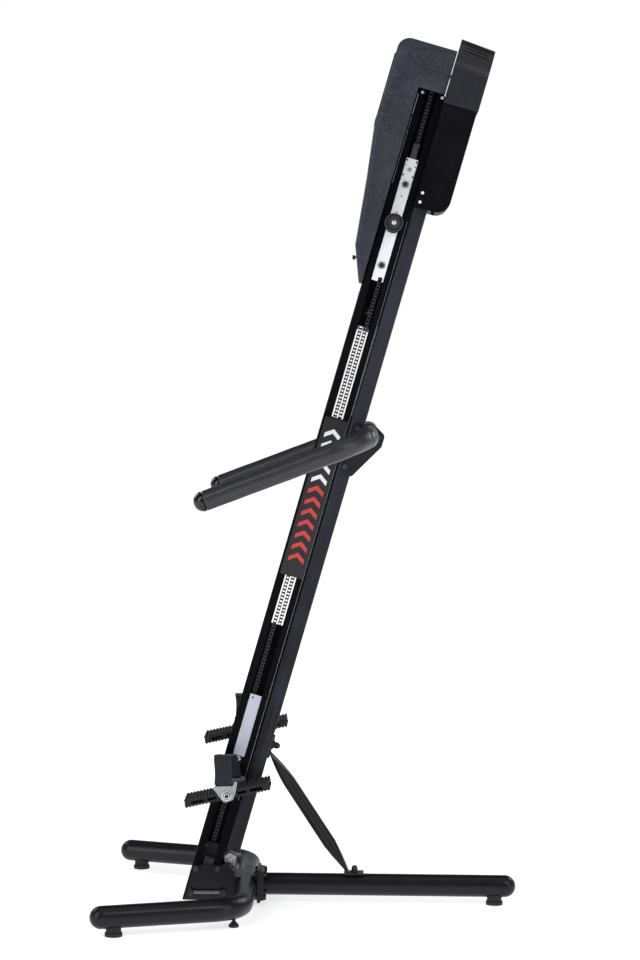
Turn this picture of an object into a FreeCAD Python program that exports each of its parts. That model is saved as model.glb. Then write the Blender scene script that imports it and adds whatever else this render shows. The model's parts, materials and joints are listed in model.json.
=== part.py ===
import FreeCAD, Part
import math
import os
from FreeCAD import Placement, Rotation, Vector

# Vertical climber: a leaning two-rail mast on a splayed tube base. Chains inside the mast tie
# each hand slider to the opposite foot slider. All lengths are in millimetres.
# World frame: +X to the rear, -Y is the user's right, +Z up, origin on the floor at mid-length.
# Mast frame: x is the depth behind the mast's front face, y is across, z runs up the mast.

# ---------------------------------------------------------------- driving dimensions
BASE_LENGTH = 1128.0
BASE_WIDTH = 916.0
LEG_SPLAY = 18.0             # degrees outwards, each front leg
TUBE_R = 30.15               # base tube, 60.3 outside
TUBE_WALL = 3.0
TUBE_AXIS_Z = 50.5
CROSS_TUBE_X = -177.0
BASE_BEND = 100.0            # bend radius on the tube's axis

MAST_FOOT = Vector(-345.0, 0.0, 34.4)
MAST_LEAN = 15.8             # degrees from vertical, top to the rear
MAST_LENGTH = 2274.0
MAST_HALF = 45.0             # half width across
RAIL_DEPTH = 77.0            # front rail, with a slider channel in each side
BEAM_DEPTH = 38.4            # plain rear beam behind the rail
BEAM_BOTTOM = 146.0
SLOT_FRONT = 21.4
SLOT_REAR = 54.8
SLOT_MID = 38.1
GROOVE_DEPTH = 5.0
GROOVE_Y = (35.5, 40.9)
WEB_HALF = 2.0
RAIL_CUT_Z = 20.0            # the rail is cut level above the floor
WINDOW = (773.6, 1620.0)
COVER = (915.8, 1361.0)

CHAIN_PITCH = 9.525
CHAIN_HALF_H = 4.5           # half height of the side plates
CHAIN_HALF_W = 5.3           # half length of the pins
CHAIN_GROOVE = 2.6           # half width between the plates
TEETH = 11
TOP_AXIS = 2333.0
BOTTOM_AXIS = 100.0
FRONT_LINE = 31.3
REAR_LINE = 44.9
OUTER_LAYER = 27.0           # cross chains run outside the loop chains
TOP_CHAIN_END = 1868.0
BOTTOM_CHAIN_END = 560.0
CROSS_CHAIN = (450.0, 1880.0)
CROSSING = (950.0, 1330.0)

HAND_BAR = (1749.0, 2030.0)
HAND_BLOCK_TOP = 2090.0
HAND_BOLTS = (1793.0, 2019.0)
GRIP_AT = 1906.0
FOOT_BAR = (404.0, 577.0)
PEDAL_AT = 314.0
SIDE_OFFSET = 140.0          # left hand sits lower, and left foot higher, by this much
BAR_FACE = 44.6              # outer face of each slider bar
BAR_BACK = 41.2
SHOE_BACK = 33.0

PEDAL_LENGTH = 236.0
PEDAL_TILT = 12.7            # front end low
PEDAL_INNER = 62.0
PEDAL_OUTER = 177.0
PEDAL_CORE = 6.8             # half height of the pedal frame
RIB_PITCH = 9.0
AXLE_R = 6.0
STRAP_WIDTH = 47.0
STRAP_THICK = 3.0
STRAP_TOPS = {"right": (111.0, 92.0), "left": (92.0, 104.0)}   # outer and inner corner, above the axle
STRAP_SKEW = 9.5             # degrees that the loop turns to the rear at its inner side

RAIL_TUBE_R = 16.0
FOAM_R = 27.0
HANDRAIL_END_X = -277.0
HANDRAIL_HALF = 368.0        # half width between the arms' centres
HANDRAIL_SLOPE = 21.0
HANDRAIL_AT = (132.0, 1344.0)   # cross tube centre, mast frame
HANDRAIL_BEND = 110.0
HANDRAIL_BOLTS = ((96.0, 1243.0), (163.0, 1346.0), (99.0, 1352.0))

HOUSING_TOP = 2396.0
HOUSING_HALF = 82.0
HOUSING_BACK = 73.0
ARCH_R = 98.0
ARCH_RISE = 7.0              # the arch stands this much higher at its front
SHROUD = (75.4, 171.0)
SHROUD_SPLIT = 2253.0
SHROUD_BOTTOM = 1967.0
LOUVRES = (40.0, 48.0, 56.0, 64.0)   # degrees up from the side, round the arch

SPROCKET_R = CHAIN_PITCH / 2 / math.sin(math.pi / TEETH)   # pitch radius

os.makedirs("parts", exist_ok=True)


# ---------------------------------------------------------------- helpers
def box(x0, x1, y0, y1, z0, z1):
    return Part.makeBox(x1 - x0, y1 - y0, z1 - z0, Vector(x0, y0, z0))


def rod(radius, start, end):
    along = Vector(*end) - Vector(*start)
    return Part.makeCylinder(radius, along.Length, Vector(*start), along)


def ring(outer, inner, start, end):
    return rod(outer, start, end).cut(rod(inner, start, end))


def fused(shapes):
    whole = shapes[0]
    for shape in shapes[1:]:
        whole = whole.fuse(shape)
    return whole.removeSplitter()


def group(shapes):
    return Part.makeCompound(shapes)


def smooth_path(points, radius, closed=False):
    """Straight runs joined by tangent arcs; radius is one number, or one for each point."""
    pts = [Vector(*p) for p in points]
    count = len(pts)
    radii = radius if isinstance(radius, list) else [radius] * count
    corners = range(count) if closed else range(1, count - 1)
    entry = {}
    leave = {}
    arcs = {}
    for i in corners:
        if not radii[i]:
            continue
        here = pts[i]
        back = (pts[i - 1] - here).normalize()
        ahead = (pts[(i + 1) % count] - here).normalize()
        half = back.getAngle(ahead) / 2
        trim = radii[i] / math.tan(half)
        bisector = (back + ahead).normalize()
        entry[i] = here + back * trim
        leave[i] = here + ahead * trim
        middle = here + bisector * (radii[i] / math.sin(half) - radii[i])
        arcs[i] = Part.Arc(entry[i], middle, leave[i]).toShape()
    edges = []
    for i in range(count if closed else count - 1):
        nxt = (i + 1) % count
        start = leave.get(i, pts[i])
        end = entry.get(nxt, pts[nxt])
        if (end - start).Length > 1e-6:
            edges.append(Part.makeLine(start, end))
        if nxt in arcs:
            edges.append(arcs[nxt])
    return Part.Wire(edges)


def slab(points, y0, y1, radius=0.0):
    """A plate with its outline in the XZ plane, between two y values."""
    outline = [(x, y0, z) for x, z in points]
    if radius:
        wire = smooth_path(outline, radius, closed=True)
    else:
        wire = Part.makePolygon([Vector(*p) for p in outline + outline[:1]])
    return Part.Face(wire).extrude(Vector(0, y1 - y0, 0))


def corners(x0, x1, z0, z1):
    return [(x0, z0), (x1, z0), (x1, z1), (x0, z1)]


def across(points, x0, x1, radius=0.0):
    """A plate with its outline in the YZ plane, between two x values."""
    outline = [(x0, y, z) for y, z in points]
    if radius:
        wire = smooth_path(outline, radius, closed=True)
    else:
        wire = Part.makePolygon([Vector(*p) for p in outline + outline[:1]])
    return Part.Face(wire).extrude(Vector(x1 - x0, 0, 0))


def swept(points, radius, bend):
    """A round bar along a path of straight runs and arcs."""
    path = smooth_path(points, bend)
    start = Vector(*points[0])
    circle = Part.Wire(Part.makeCircle(radius, start, Vector(*points[1]) - start))
    return path.makePipeShell([circle], True, False)


def hex_head(across_flats, start, end):
    """Hexagonal head or nut between two points on the bolt's axis."""
    start, end = Vector(*start), Vector(*end)
    corner = across_flats / math.sqrt(3)
    pts = [Vector(corner * math.cos(math.radians(60 * i)), corner * math.sin(math.radians(60 * i)), 0)
           for i in range(7)]
    prism = Part.Face(Part.makePolygon(pts)).extrude(Vector(0, 0, (end - start).Length))
    prism.Placement = Placement(start, Rotation(Vector(0, 0, 1), end - start))
    return prism


def mirrored(shape):
    return shape.mirror(Vector(0, 0, 0), Vector(0, 1, 0))


def both_sides(shapes):
    return group(shapes + [mirrored(s) for s in shapes])


def lean(shape):
    """Mast frame to world frame."""
    moved = shape.copy()
    place = Placement(MAST_FOOT, Rotation(Vector(0, 1, 0), MAST_LEAN))
    moved.Placement = place.multiply(moved.Placement)
    return moved


def raised(shape, rise):
    moved = shape.copy()
    moved.translate(Vector(0, 0, rise))
    return moved


def save(node, shape):
    bad = [s for s in shape.Solids if not s.isValid() or s.Volume < 1.0]
    print(f"{node:24s} solids {len(shape.Solids):3d}  valid {not bad}  volume {shape.Volume / 1000:9.1f} cm3")
    shape.exportStep(f"parts/{node}.step")


def mast_point(x, y, z):
    return lean(Part.Vertex(Vector(x, y, z))).Point


# ---------------------------------------------------------------- base
LEG_TIP_X = -BASE_LENGTH / 2 + TUBE_R
LEG_TIP_Y = BASE_WIDTH / 2 - TUBE_R
CORNER_Y = LEG_TIP_Y - (CROSS_TUBE_X - LEG_TIP_X) * math.tan(math.radians(LEG_SPLAY))
REAR_END_X = BASE_LENGTH / 2 - TUBE_R
FLANGE_X = CROSS_TUBE_X + TUBE_R + 1.0
FLANGE_THICK = 9.0
REAR_FOOT_X = 506.0
FRONT_FOOT_X = -502.0
LEVELLER = Vector(-196.0, 302.0, 0.0)


def leg_y(x):
    return LEG_TIP_Y - (x - LEG_TIP_X) * math.tan(math.radians(LEG_SPLAY))


def base_parts():
    path = [(LEG_TIP_X, -LEG_TIP_Y, TUBE_AXIS_Z), (CROSS_TUBE_X, -CORNER_Y, TUBE_AXIS_Z),
            (CROSS_TUBE_X, CORNER_Y, TUBE_AXIS_Z), (LEG_TIP_X, LEG_TIP_Y, TUBE_AXIS_Z)]
    outside = swept(path, TUBE_R, BASE_BEND)
    inside = swept(path, TUBE_R - TUBE_WALL, BASE_BEND)
    saddle = box(FLANGE_X - 15, FLANGE_X + 2, -25, 25, 24, 77)
    plate = slab([(FLANGE_X, 6), (FLANGE_X + FLANGE_THICK, 6), (FLANGE_X + FLANGE_THICK, 97),
                  (FLANGE_X, 97)], -46, 46)
    for y in (-34, 34):
        for z in (20, 83):
            plate = plate.cut(rod(5.3, (FLANGE_X - 1, y, z), (FLANGE_X + 20, y, z)))
    stems = [rod(5.3, (LEVELLER.x, side * LEVELLER.y, 10), (LEVELLER.x, side * LEVELLER.y, 45))
             for side in (-1, 1)]
    front = fused([outside, saddle, plate]).cut(inside)
    for stem in stems:
        front = front.cut(stem)
    save("base_front_tube", front)

    mate_x = FLANGE_X + FLANGE_THICK
    rear = rod(TUBE_R, (mate_x, 0, TUBE_AXIS_Z), (REAR_END_X, 0, TUBE_AXIS_Z))
    mate = box(mate_x, mate_x + FLANGE_THICK, -46, 46, 12, 92)
    for y in (-34, 34):
        for z in (20, 83):
            mate = mate.cut(rod(5.3, (mate_x - 1, y, z), (mate_x + 20, y, z)))
    rear = fused([rear, mate]).cut(rod(TUBE_R - TUBE_WALL, (mate_x + 4, 0, TUBE_AXIS_Z),
                                       (REAR_END_X, 0, TUBE_AXIS_Z)))
    rear = rear.cut(rod(5.2, (STAY_BOLT_X, 0, 60), (STAY_BOLT_X, 0, 120)))
    save("base_rear_tube", rear)

    def end_cap(centre, out):
        centre, out = Vector(*centre), Vector(*out).normalize()
        dome = Part.makeSphere(TUBE_R, centre)
        dome = dome.common(Part.makeCylinder(TUBE_R + 5, TUBE_R + 5, centre, out))
        plug = Part.makeCylinder(TUBE_R - TUBE_WALL, 18, centre - out * 18, out)
        return fused([dome, plug])

    splay = math.radians(LEG_SPLAY)
    caps = [end_cap((LEG_TIP_X, side * LEG_TIP_Y, TUBE_AXIS_Z), (-math.cos(splay), side * math.sin(splay), 0))
            for side in (-1, 1)]
    caps.append(end_cap((REAR_END_X, 0, TUBE_AXIS_Z), (1, 0, 0)))
    save("base_end_caps", group(caps))

    def rubber_foot(x, y):
        foot = fused([rod(23.0, (x, y, 0), (x, y, 9)), rod(20.0, (x, y, 9), (x, y, 27))])
        return foot.cut(outside).cut(rod(TUBE_R, (0, 0, TUBE_AXIS_Z), (REAR_END_X, 0, TUBE_AXIS_Z)))

    feet = [rubber_foot(FRONT_FOOT_X, side * leg_y(FRONT_FOOT_X)) for side in (-1, 1)]
    feet.append(rubber_foot(REAR_FOOT_X, 0))
    save("rubber_feet", group(feet))

    for name, side in (("right", -1), ("left", 1)):
        x, y = LEVELLER.x, side * LEVELLER.y
        pad = rod(13.5, (x, y, 0), (x, y, 7))
        nut = hex_head(15.0, (x, y, 7), (x, y, 13))
        save(f"{name}_levelling_foot", fused([pad, nut, rod(5.0, (x, y, 13), (x, y, 40))]))


# ---------------------------------------------------------------- mast foot bracket and stay
BRACKET_IN = MAST_HALF + 0.4
BRACKET_OUT = BRACKET_IN + 6.0
BRACKET_BOLTS = ((-313.0, 101.0), (-253.0, 101.0))
STAY_TOP = 428.0
STAY_FOOT = (104.0, 85.5)
STAY_R = 17.8
TAB_THICK = 5.0
STAY_BOLT_MAST = 452.0
STAY_BOLT_X = 121.0


def mast_foot_parts():
    rear = CROSS_TUBE_X - TUBE_R - 0.4
    side = slab([(-345, 14), (rear, 14), (rear, 92), (-221, 111), (-319, 111)], -BRACKET_OUT, -BRACKET_IN)
    floor = box(-349, rear, -BRACKET_OUT, BRACKET_OUT, 14, 19.6)
    back = box(-217, rear, -BRACKET_OUT, BRACKET_OUT, 14, 92)
    cradle = box(-208, -186, -BRACKET_OUT, BRACKET_OUT, 22, 79)
    cradle = cradle.cut(rod(TUBE_R + 0.3, (CROSS_TUBE_X, -80, TUBE_AXIS_Z), (CROSS_TUBE_X, 80, TUBE_AXIS_Z)))
    bracket = fused([side, mirrored(side), floor, back, cradle])
    for x, z in BRACKET_BOLTS:
        bracket = bracket.cut(rod(5.2, (x, -80, z), (x, 80, z)))
    save("mast_foot_bracket", bracket)

    # locking latch behind the rail: two steel lugs, a cross pin and its lever
    lug = slab([(-236, 92.2), (-209, 92.2), (-204, 128), (-222, 138), (-236, 128)], -19, -15, 4)
    pin = rod(5.0, (-221, -30, 120), (-221, 30, 120))
    lugs = fused([lug, mirrored(lug), pin])
    lever = fused([rod(8.0, (-221, 31, 120), (-221, 37, 120)), box(-225, -217, 31, 36, 78, 120)])
    save("mast_latch", group([lugs, lever]))


def stay_parts():
    """Round tube with flattened, bent ends: one on the mast's back, one on the rear tube."""
    rear_face = RAIL_DEPTH + BEAM_DEPTH
    top = mast_point(rear_face + 4.5, 0, STAY_TOP)
    foot = Vector(STAY_FOOT[0], 0, STAY_FOOT[1])
    along = (foot - top).normalize()
    side_on = Vector(0, 1, 0).cross(along)
    taper = 95.0

    def flat(point, half_wide, half_thick):
        ends = point + Vector(0, half_wide, 0), point + side_on * half_thick
        return Part.Wire(Part.Ellipse(*ends, point).toShape())

    def full(point):
        radius = Vector(0, STAY_R, 0)
        return Part.Wire(Part.Circle(point + radius, point + side_on * STAY_R, point - radius).toShape())

    upper_end = top + along * taper
    lower_end = foot - along * taper
    upper_waist = flat(top + along * taper * 0.45, 22, 12.0)
    lower_waist = flat(foot - along * taper * 0.45, 22, 11.0)
    upper = Part.makeLoft([flat(top, 25, 3.0), upper_waist, full(upper_end)], True)
    lower = Part.makeLoft([full(lower_end), lower_waist, flat(foot, 25, 3.0)], True)
    tube = Part.Face(full(upper_end)).extrude(lower_end - upper_end)
    mast_tab = lean(box(rear_face + 0.1, rear_face + 0.1 + TAB_THICK, -22, 22, 416, 476))
    tube_top = TUBE_AXIS_Z + TUBE_R
    foot_tab = box(92, 146, -22, 22, tube_top + 0.1, tube_top + 0.1 + TAB_THICK)
    stay = fused([tube, upper, lower, mast_tab, foot_tab])
    stay = stay.cut(lean(rod(5.2, (100, 0, STAY_BOLT_MAST), (160, 0, STAY_BOLT_MAST))))
    stay = stay.cut(rod(5.2, (STAY_BOLT_X, 0, 60), (STAY_BOLT_X, 0, 120)))
    save("brace_strut", stay)

    tab_face = rear_face + 0.1 + TAB_THICK
    upper_bolt = fused([rod(13, (tab_face, 0, STAY_BOLT_MAST), (tab_face + 3, 0, STAY_BOLT_MAST)),
                        rod(9, (tab_face + 3, 0, STAY_BOLT_MAST), (tab_face + 13, 0, STAY_BOLT_MAST)),
                        Part.makeSphere(8.5, Vector(tab_face + 12, 0, STAY_BOLT_MAST)),
                        rod(5, (tab_face - 12, 0, STAY_BOLT_MAST), (tab_face + 3, 0, STAY_BOLT_MAST))])
    seat = tube_top + 0.1 + TAB_THICK
    lower_bolt = fused([rod(11, (STAY_BOLT_X, 0, seat), (STAY_BOLT_X, 0, seat + 2.5)),
                        rod(8.5, (STAY_BOLT_X, 0, seat + 2.5), (STAY_BOLT_X, 0, seat + 11)),
                        Part.makeSphere(8.2, Vector(STAY_BOLT_X, 0, seat + 10.5)),
                        rod(5, (STAY_BOLT_X, 0, seat - 12), (STAY_BOLT_X, 0, seat + 3))])
    save("brace_bolts", group([lean(upper_bolt), lower_bolt]))


# ---------------------------------------------------------------- mast
def mast_parts():
    start = -40.0
    rail = box(0, RAIL_DEPTH, -MAST_HALF, MAST_HALF, start, MAST_LENGTH)
    long_edges = [e for e in rail.Edges if e.BoundBox.ZLength > 1000]
    rail = rail.makeFillet(5.0, long_edges)
    inner = MAST_HALF - 3.0
    rail = rail.cut(box(3, 13.4, -inner, inner, start - 1, MAST_LENGTH + 1))
    rail = rail.cut(box(62.8, RAIL_DEPTH - 3, -inner, inner, start - 1, MAST_LENGTH + 1))
    for side in (-1, 1):
        low, high = sorted((side * WEB_HALF, side * (MAST_HALF + 1)))
        rail = rail.cut(box(SLOT_FRONT, SLOT_REAR, low, high, start - 1, MAST_LENGTH + 1))
        low, high = sorted((side * GROOVE_Y[0], side * GROOVE_Y[1]))
        rail = rail.cut(box(SLOT_FRONT - GROOVE_DEPTH, SLOT_REAR + GROOVE_DEPTH, low, high,
                            start - 1, MAST_LENGTH + 1))
    rail = rail.cut(slab(corners(22.4, 53.8, *WINDOW), -5, 5, 2))
    rail = rail.cut(rod(9.0, (SLOT_MID, -5, 1659), (SLOT_MID, 5, 1659)))
    rail = rail.cut(box(SLOT_FRONT, SLOT_REAR, -5, 5, 66, 134))
    rail = rail.cut(rod(4.05, (10, 0, BOTTOM_AXIS), (66, 0, BOTTOM_AXIS)))
    rail = lean(rail)
    rail = rail.cut(box(-600, 0, -100, 100, -200, RAIL_CUT_Z))
    for x, z in BRACKET_BOLTS:
        rail = rail.cut(rod(5.1, (x, -MAST_HALF - 1, z), (x, -MAST_HALF + 3.1, z)))
        rail = rail.cut(rod(5.1, (x, MAST_HALF - 3.1, z), (x, MAST_HALF + 1, z)))
    save("mast_rail", rail)

    rear_face = RAIL_DEPTH + BEAM_DEPTH
    beam = box(RAIL_DEPTH, rear_face, -MAST_HALF, MAST_HALF, BEAM_BOTTOM, MAST_LENGTH)
    long_edges = [e for e in beam.Edges if e.BoundBox.ZLength > 1000]
    beam = beam.makeFillet(5.0, long_edges)
    beam = beam.cut(box(RAIL_DEPTH + 3, rear_face - 3, -inner, inner, BEAM_BOTTOM + 3, MAST_LENGTH + 1))
    beam = beam.cut(rod(5.1, (rear_face - 4, 0, STAY_BOLT_MAST), (rear_face + 1, 0, STAY_BOLT_MAST)))
    save("mast_rear_beam", lean(beam))

    cover = slab(corners(7, 71, *COVER), -MAST_HALF - 1.2, -MAST_HALF, 2)
    save("side_covers", lean(both_sides([cover])))

    bumper = slab([(27, 84), (54.4, 84), (54.4, 112), (27, 112)], -44.4, -24.5, 3)
    bumper = fused([bumper, box(SLOT_FRONT + 0.5, SLOT_REAR - 0.5, -26.0, -24.0, 64, 150)])
    save("lower_bumpers", lean(both_sides([bumper])))


# ---------------------------------------------------------------- chains and sprockets
def sprocket(centre_z, bore):
    root = SPROCKET_R - 2.6
    tip = SPROCKET_R + 2.0
    gap = 360.0 / TEETH
    outline = []
    for i in range(TEETH):
        for turn, radius in ((0.20, root), (0.40, tip), (0.60, tip), (0.80, root)):
            angle = math.radians((i + turn) * gap)
            outline.append((radius * math.sin(angle), centre_z + radius * math.cos(angle)))
    wheel = across(outline, SLOT_MID - 2.1, SLOT_MID + 2.1)
    hub = rod(11.0, (SLOT_MID - 6, 0, centre_z), (SLOT_MID + 9, 0, centre_z))
    return fused([wheel, hub]).cut(rod(bore, (0, 0, centre_z), (80, 0, centre_z)))


def loop_chain(axis_z, end_z):
    """Chain over a sprocket with two straight strands; a groove leaves room for the teeth."""
    outer = SPROCKET_R + CHAIN_HALF_H
    inner = SPROCKET_R - CHAIN_HALF_H
    x0, x1 = SLOT_MID - CHAIN_HALF_W, SLOT_MID + CHAIN_HALF_W
    up = 1 if axis_z > end_z else -1

    def hoop(radius_out, radius_in, xa, xb):
        full = ring(radius_out, radius_in, (xa, 0, axis_z), (xb, 0, axis_z))
        beyond = sorted((axis_z, axis_z + up * 60))
        turn = full.common(box(xa - 1, xb + 1, -60, 60, *beyond))
        strands = [box(xa, xb, *sorted((side * radius_in, side * radius_out)), *sorted((axis_z, end_z)))
                   for side in (-1, 1)]
        return fused([turn] + strands)

    whole = hoop(outer, inner, x0, x1)
    return whole.cut(hoop(outer - 1.9, inner - 1, SLOT_MID - CHAIN_GROOVE, SLOT_MID + CHAIN_GROOVE))


def cross_chain(line_x, upper_side):
    """Straight strand on one side, a slant through the web, and a strand on the other side."""
    stations = [(upper_side * OUTER_LAYER, CROSS_CHAIN[1]), (upper_side * OUTER_LAYER, CROSSING[1]),
                (-upper_side * OUTER_LAYER, CROSSING[0]), (-upper_side * OUTER_LAYER, CROSS_CHAIN[0])]
    x0, x1 = line_x - CHAIN_HALF_W, line_x + CHAIN_HALF_W
    pieces = []
    for (ya, za), (yb, zb) in zip(stations, stations[1:]):
        along = Vector(0, yb - ya, zb - za)
        side = Vector(1, 0, 0).cross(along).normalize() * CHAIN_HALF_H
        corners = [Vector(x0, ya, za) + side, Vector(x0, yb, zb) + side,
                   Vector(x0, yb, zb) - side, Vector(x0, ya, za) - side]
        face = Part.Face(Part.makePolygon(corners + corners[:1]))
        pieces.append(face.extrude(Vector(x1 - x0, 0, 0)))
    pieces += [rod(CHAIN_HALF_H, (x0, y, z), (x1, y, z)) for y, z in stations[1:3]]
    return fused(pieces)


def drive_parts():
    save("top_chain", lean(loop_chain(TOP_AXIS, TOP_CHAIN_END)))
    save("bottom_chain", lean(loop_chain(BOTTOM_AXIS, BOTTOM_CHAIN_END)))
    save("rear_cross_chain", lean(cross_chain(REAR_LINE, -1)))
    save("front_cross_chain", lean(cross_chain(FRONT_LINE, 1)))

    shaft_r = 6.0
    save("top_sprocket", lean(sprocket(TOP_AXIS, shaft_r)))
    bottom = sprocket(BOTTOM_AXIS, 4.06)
    save("bottom_sprocket", lean(bottom))
    save("drive_shaft", lean(rod(shaft_r, (26, 0, TOP_AXIS), (158, 0, TOP_AXIS))))

    disc = ring(80.0, shaft_r, (138, 0, TOP_AXIS), (144, 0, TOP_AXIS))
    hub = ring(20.0, shaft_r, (128, 0, TOP_AXIS), (138, 0, TOP_AXIS))
    holes = [rod(9.0, (130, 48 * math.cos(a), TOP_AXIS + 48 * math.sin(a)),
                 (150, 48 * math.cos(a), TOP_AXIS + 48 * math.sin(a)))
             for a in [math.radians(60 * i) for i in range(6)]]
    rotor = fused([disc, hub])
    for hole in holes:
        rotor = rotor.cut(hole)
    save("brake_rotor", lean(rotor))

    blocks = []
    for x in (56.0, 96.0):
        outline = [(-32, MAST_LENGTH), (32, MAST_LENGTH), (24, MAST_LENGTH + 84), (-24, MAST_LENGTH + 84)]
        block = across(outline, x, x + 12, 4)
        blocks.append(block.cut(rod(shaft_r + 0.05, (x - 1, 0, TOP_AXIS), (x + 13, 0, TOP_AXIS))))
    save("drive_bearings", lean(group(blocks)))

    base = box(RAIL_DEPTH + BEAM_DEPTH, 156, -26, 26, 2226, 2236)
    cheeks = [box(126, 135.5, -26, 26, 2236, 2270), box(146.5, 156, -26, 26, 2236, 2270)]
    save("brake_magnets", lean(fused([base] + cheeks)))


# ---------------------------------------------------------------- hand and foot sliders
def shoe(z0, z1, outer_y):
    """Nylon guide shoe: a body in the channel with a tongue in each groove."""
    body = box(SLOT_FRONT + 0.9, SLOT_REAR - 0.9, -outer_y, -SHOE_BACK, z0, z1)
    tongue = box(SLOT_FRONT - GROOVE_DEPTH + 0.6, SLOT_REAR + GROOVE_DEPTH - 0.6,
                 -GROOVE_Y[1] + 0.4, -GROOVE_Y[0] - 0.4, z0 + 2, z1 - 2)
    return fused([body, tongue])


def hand_parts(line):
    """Hand slider for the right side in the mast frame, tied to the chain on the given line."""
    x0, x1 = SLOT_FRONT + 0.9, SLOT_REAR - 0.9
    bar = slab(corners(x0, x1, HAND_BAR[0], HAND_BAR[1] - 0.2), -BAR_FACE, -BAR_BACK, 1.5)
    spine = box(27, 49, -BAR_BACK, -SHOE_BACK, 1836, 1975)
    fork = [box(line + gap, line + gap + 2.4, -BAR_BACK, -23, 1749, 1768) for gap in (-8.2, 5.8)]
    bar = fused([bar, spine] + fork)
    bar = bar.cut(slab(corners(line - 5.8, line + 5.8, 1740, 1761), -50, -30))
    for z in HAND_BOLTS:
        bar = bar.cut(rod(4.1, (SLOT_MID, -60, z), (SLOT_MID, -30, z)))
    for z in (1941, 1986):
        bar = bar.cut(rod(2.0, (SLOT_MID, -60, z), (SLOT_MID, -BAR_BACK, z)))
    bar = bar.cut(rod(11.0, (SLOT_MID, -60, GRIP_AT), (SLOT_MID, -SHOE_BACK - 2, GRIP_AT)))

    top_block = shoe(HAND_BAR[1], HAND_BLOCK_TOP, BAR_FACE)
    low_shoe = shoe(1772, 1832, BAR_BACK)
    high_shoe = shoe(1978, 2029.6, BAR_BACK)
    anchor = box(SLOT_MID - 8, SLOT_MID + 8, -40.8, -SHOE_BACK - 2, HAND_BLOCK_TOP, HAND_BLOCK_TOP + 42)
    shoes = [top_block.cut(rod(6.0, (SLOT_MID, -50, 2060), (SLOT_MID, -43, 2060))),
             low_shoe.cut(rod(4.1, (SLOT_MID, -60, HAND_BOLTS[0]), (SLOT_MID, -30, HAND_BOLTS[0]))),
             high_shoe.cut(rod(4.1, (SLOT_MID, -60, HAND_BOLTS[1]), (SLOT_MID, -30, HAND_BOLTS[1])))]
    for dx in (-13.4, 13.4):
        for z in (2037, 2083):
            shoes[0] = shoes[0].cut(rod(1.6, (SLOT_MID + dx, -50, z), (SLOT_MID + dx, -43.6, z)))

    bolts = [anchor]
    for z in HAND_BOLTS:
        bolts.append(fused([rod(9.0, (SLOT_MID, -BAR_FACE - 1.6, z), (SLOT_MID, -BAR_FACE, z)),
                            rod(6.2, (SLOT_MID, -BAR_FACE - 8, z), (SLOT_MID, -BAR_FACE - 1.6, z)),
                            rod(4.0, (SLOT_MID, -BAR_FACE, z), (SLOT_MID, -SHOE_BACK - 1, z))]))
    handle = fused([rod(10.8, (SLOT_MID, -184, GRIP_AT), (SLOT_MID, -SHOE_BACK - 2.2, GRIP_AT)),
                    rod(15.0, (SLOT_MID, -BAR_FACE - 1.2, GRIP_AT), (SLOT_MID, -BAR_FACE, GRIP_AT)),
                    rod(20.0, (SLOT_MID, -BAR_FACE - 7, GRIP_AT), (SLOT_MID, -BAR_FACE - 1.1, GRIP_AT))])
    handle = fused([handle, rod(16.0, (SLOT_MID, -188, GRIP_AT), (SLOT_MID, -183, GRIP_AT))])
    grip = fused([rod(17.0, (SLOT_MID, -176, GRIP_AT), (SLOT_MID, -56, GRIP_AT)),
                  rod(25.0, (SLOT_MID, -182.5, GRIP_AT), (SLOT_MID, -174, GRIP_AT)),
                  rod(23.0, (SLOT_MID, -60, GRIP_AT), (SLOT_MID, -54, GRIP_AT))])
    grip = grip.cut(rod(11.0, (SLOT_MID, -190, GRIP_AT), (SLOT_MID, -50, GRIP_AT)))
    return {"hand_slider": bar, "hand_shoes": group(shoes), "hand_bolts": group(bolts),
            "hand_handle": handle, "hand_grip": grip}


def foot_slider_parts(line):
    """Foot slider for the right side in the mast frame, tied to the chain on the given line."""
    x0, x1 = SLOT_FRONT + 0.9, SLOT_REAR - 0.9
    bar = slab(corners(x0, x1, *FOOT_BAR), -BAR_FACE, -BAR_BACK, 1.5)
    lugs = [box(line + gap, line + gap + 2.4, -BAR_BACK, -23, 562, 576) for gap in (-8.2, 5.8)]
    bar = fused([bar] + lugs)
    bar = bar.cut(rod(2.5, (line, -60, 568), (line, -40, 568)))
    shoes = [shoe(428, 478, BAR_BACK), shoe(508, 558, BAR_BACK)]

    plate = slab([(24, 396), (52, 396), (49, 350), (46, PEDAL_AT - 14), (30, PEDAL_AT - 14), (26, 350)],
                 -40.9, -34.5, 3)
    neck = slab([(27, 424), (49, 424), (49, 380), (27, 380)], -40.9, -34.5)
    boss = rod(14.0, (SLOT_MID, -PEDAL_INNER + 3.6, PEDAL_AT), (SLOT_MID, -34.5, PEDAL_AT))
    axle = rod(AXLE_R, (SLOT_MID, -PEDAL_OUTER - 5, PEDAL_AT), (SLOT_MID, -34.5, PEDAL_AT))
    end = -PEDAL_OUTER
    washer = rod(12.5, (SLOT_MID, end - 6.5, PEDAL_AT), (SLOT_MID, end - 4.6, PEDAL_AT))
    head = rod(9.5, (SLOT_MID, end - 12, PEDAL_AT), (SLOT_MID, end - 6.5, PEDAL_AT))
    head = head.cut(hex_head(8.0, (SLOT_MID, end - 13, PEDAL_AT), (SLOT_MID, end - 8, PEDAL_AT)))
    ring_bolt = ring(6.5, 2.2, (41, -BAR_FACE + 1.0, 395.5), (41, -40.9, 395.5))
    arm = fused([plate, neck, boss, axle, washer, head, ring_bolt])
    return {"foot_slider": bar, "foot_shoes": group(shoes), "pedal_arm": arm}


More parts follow.
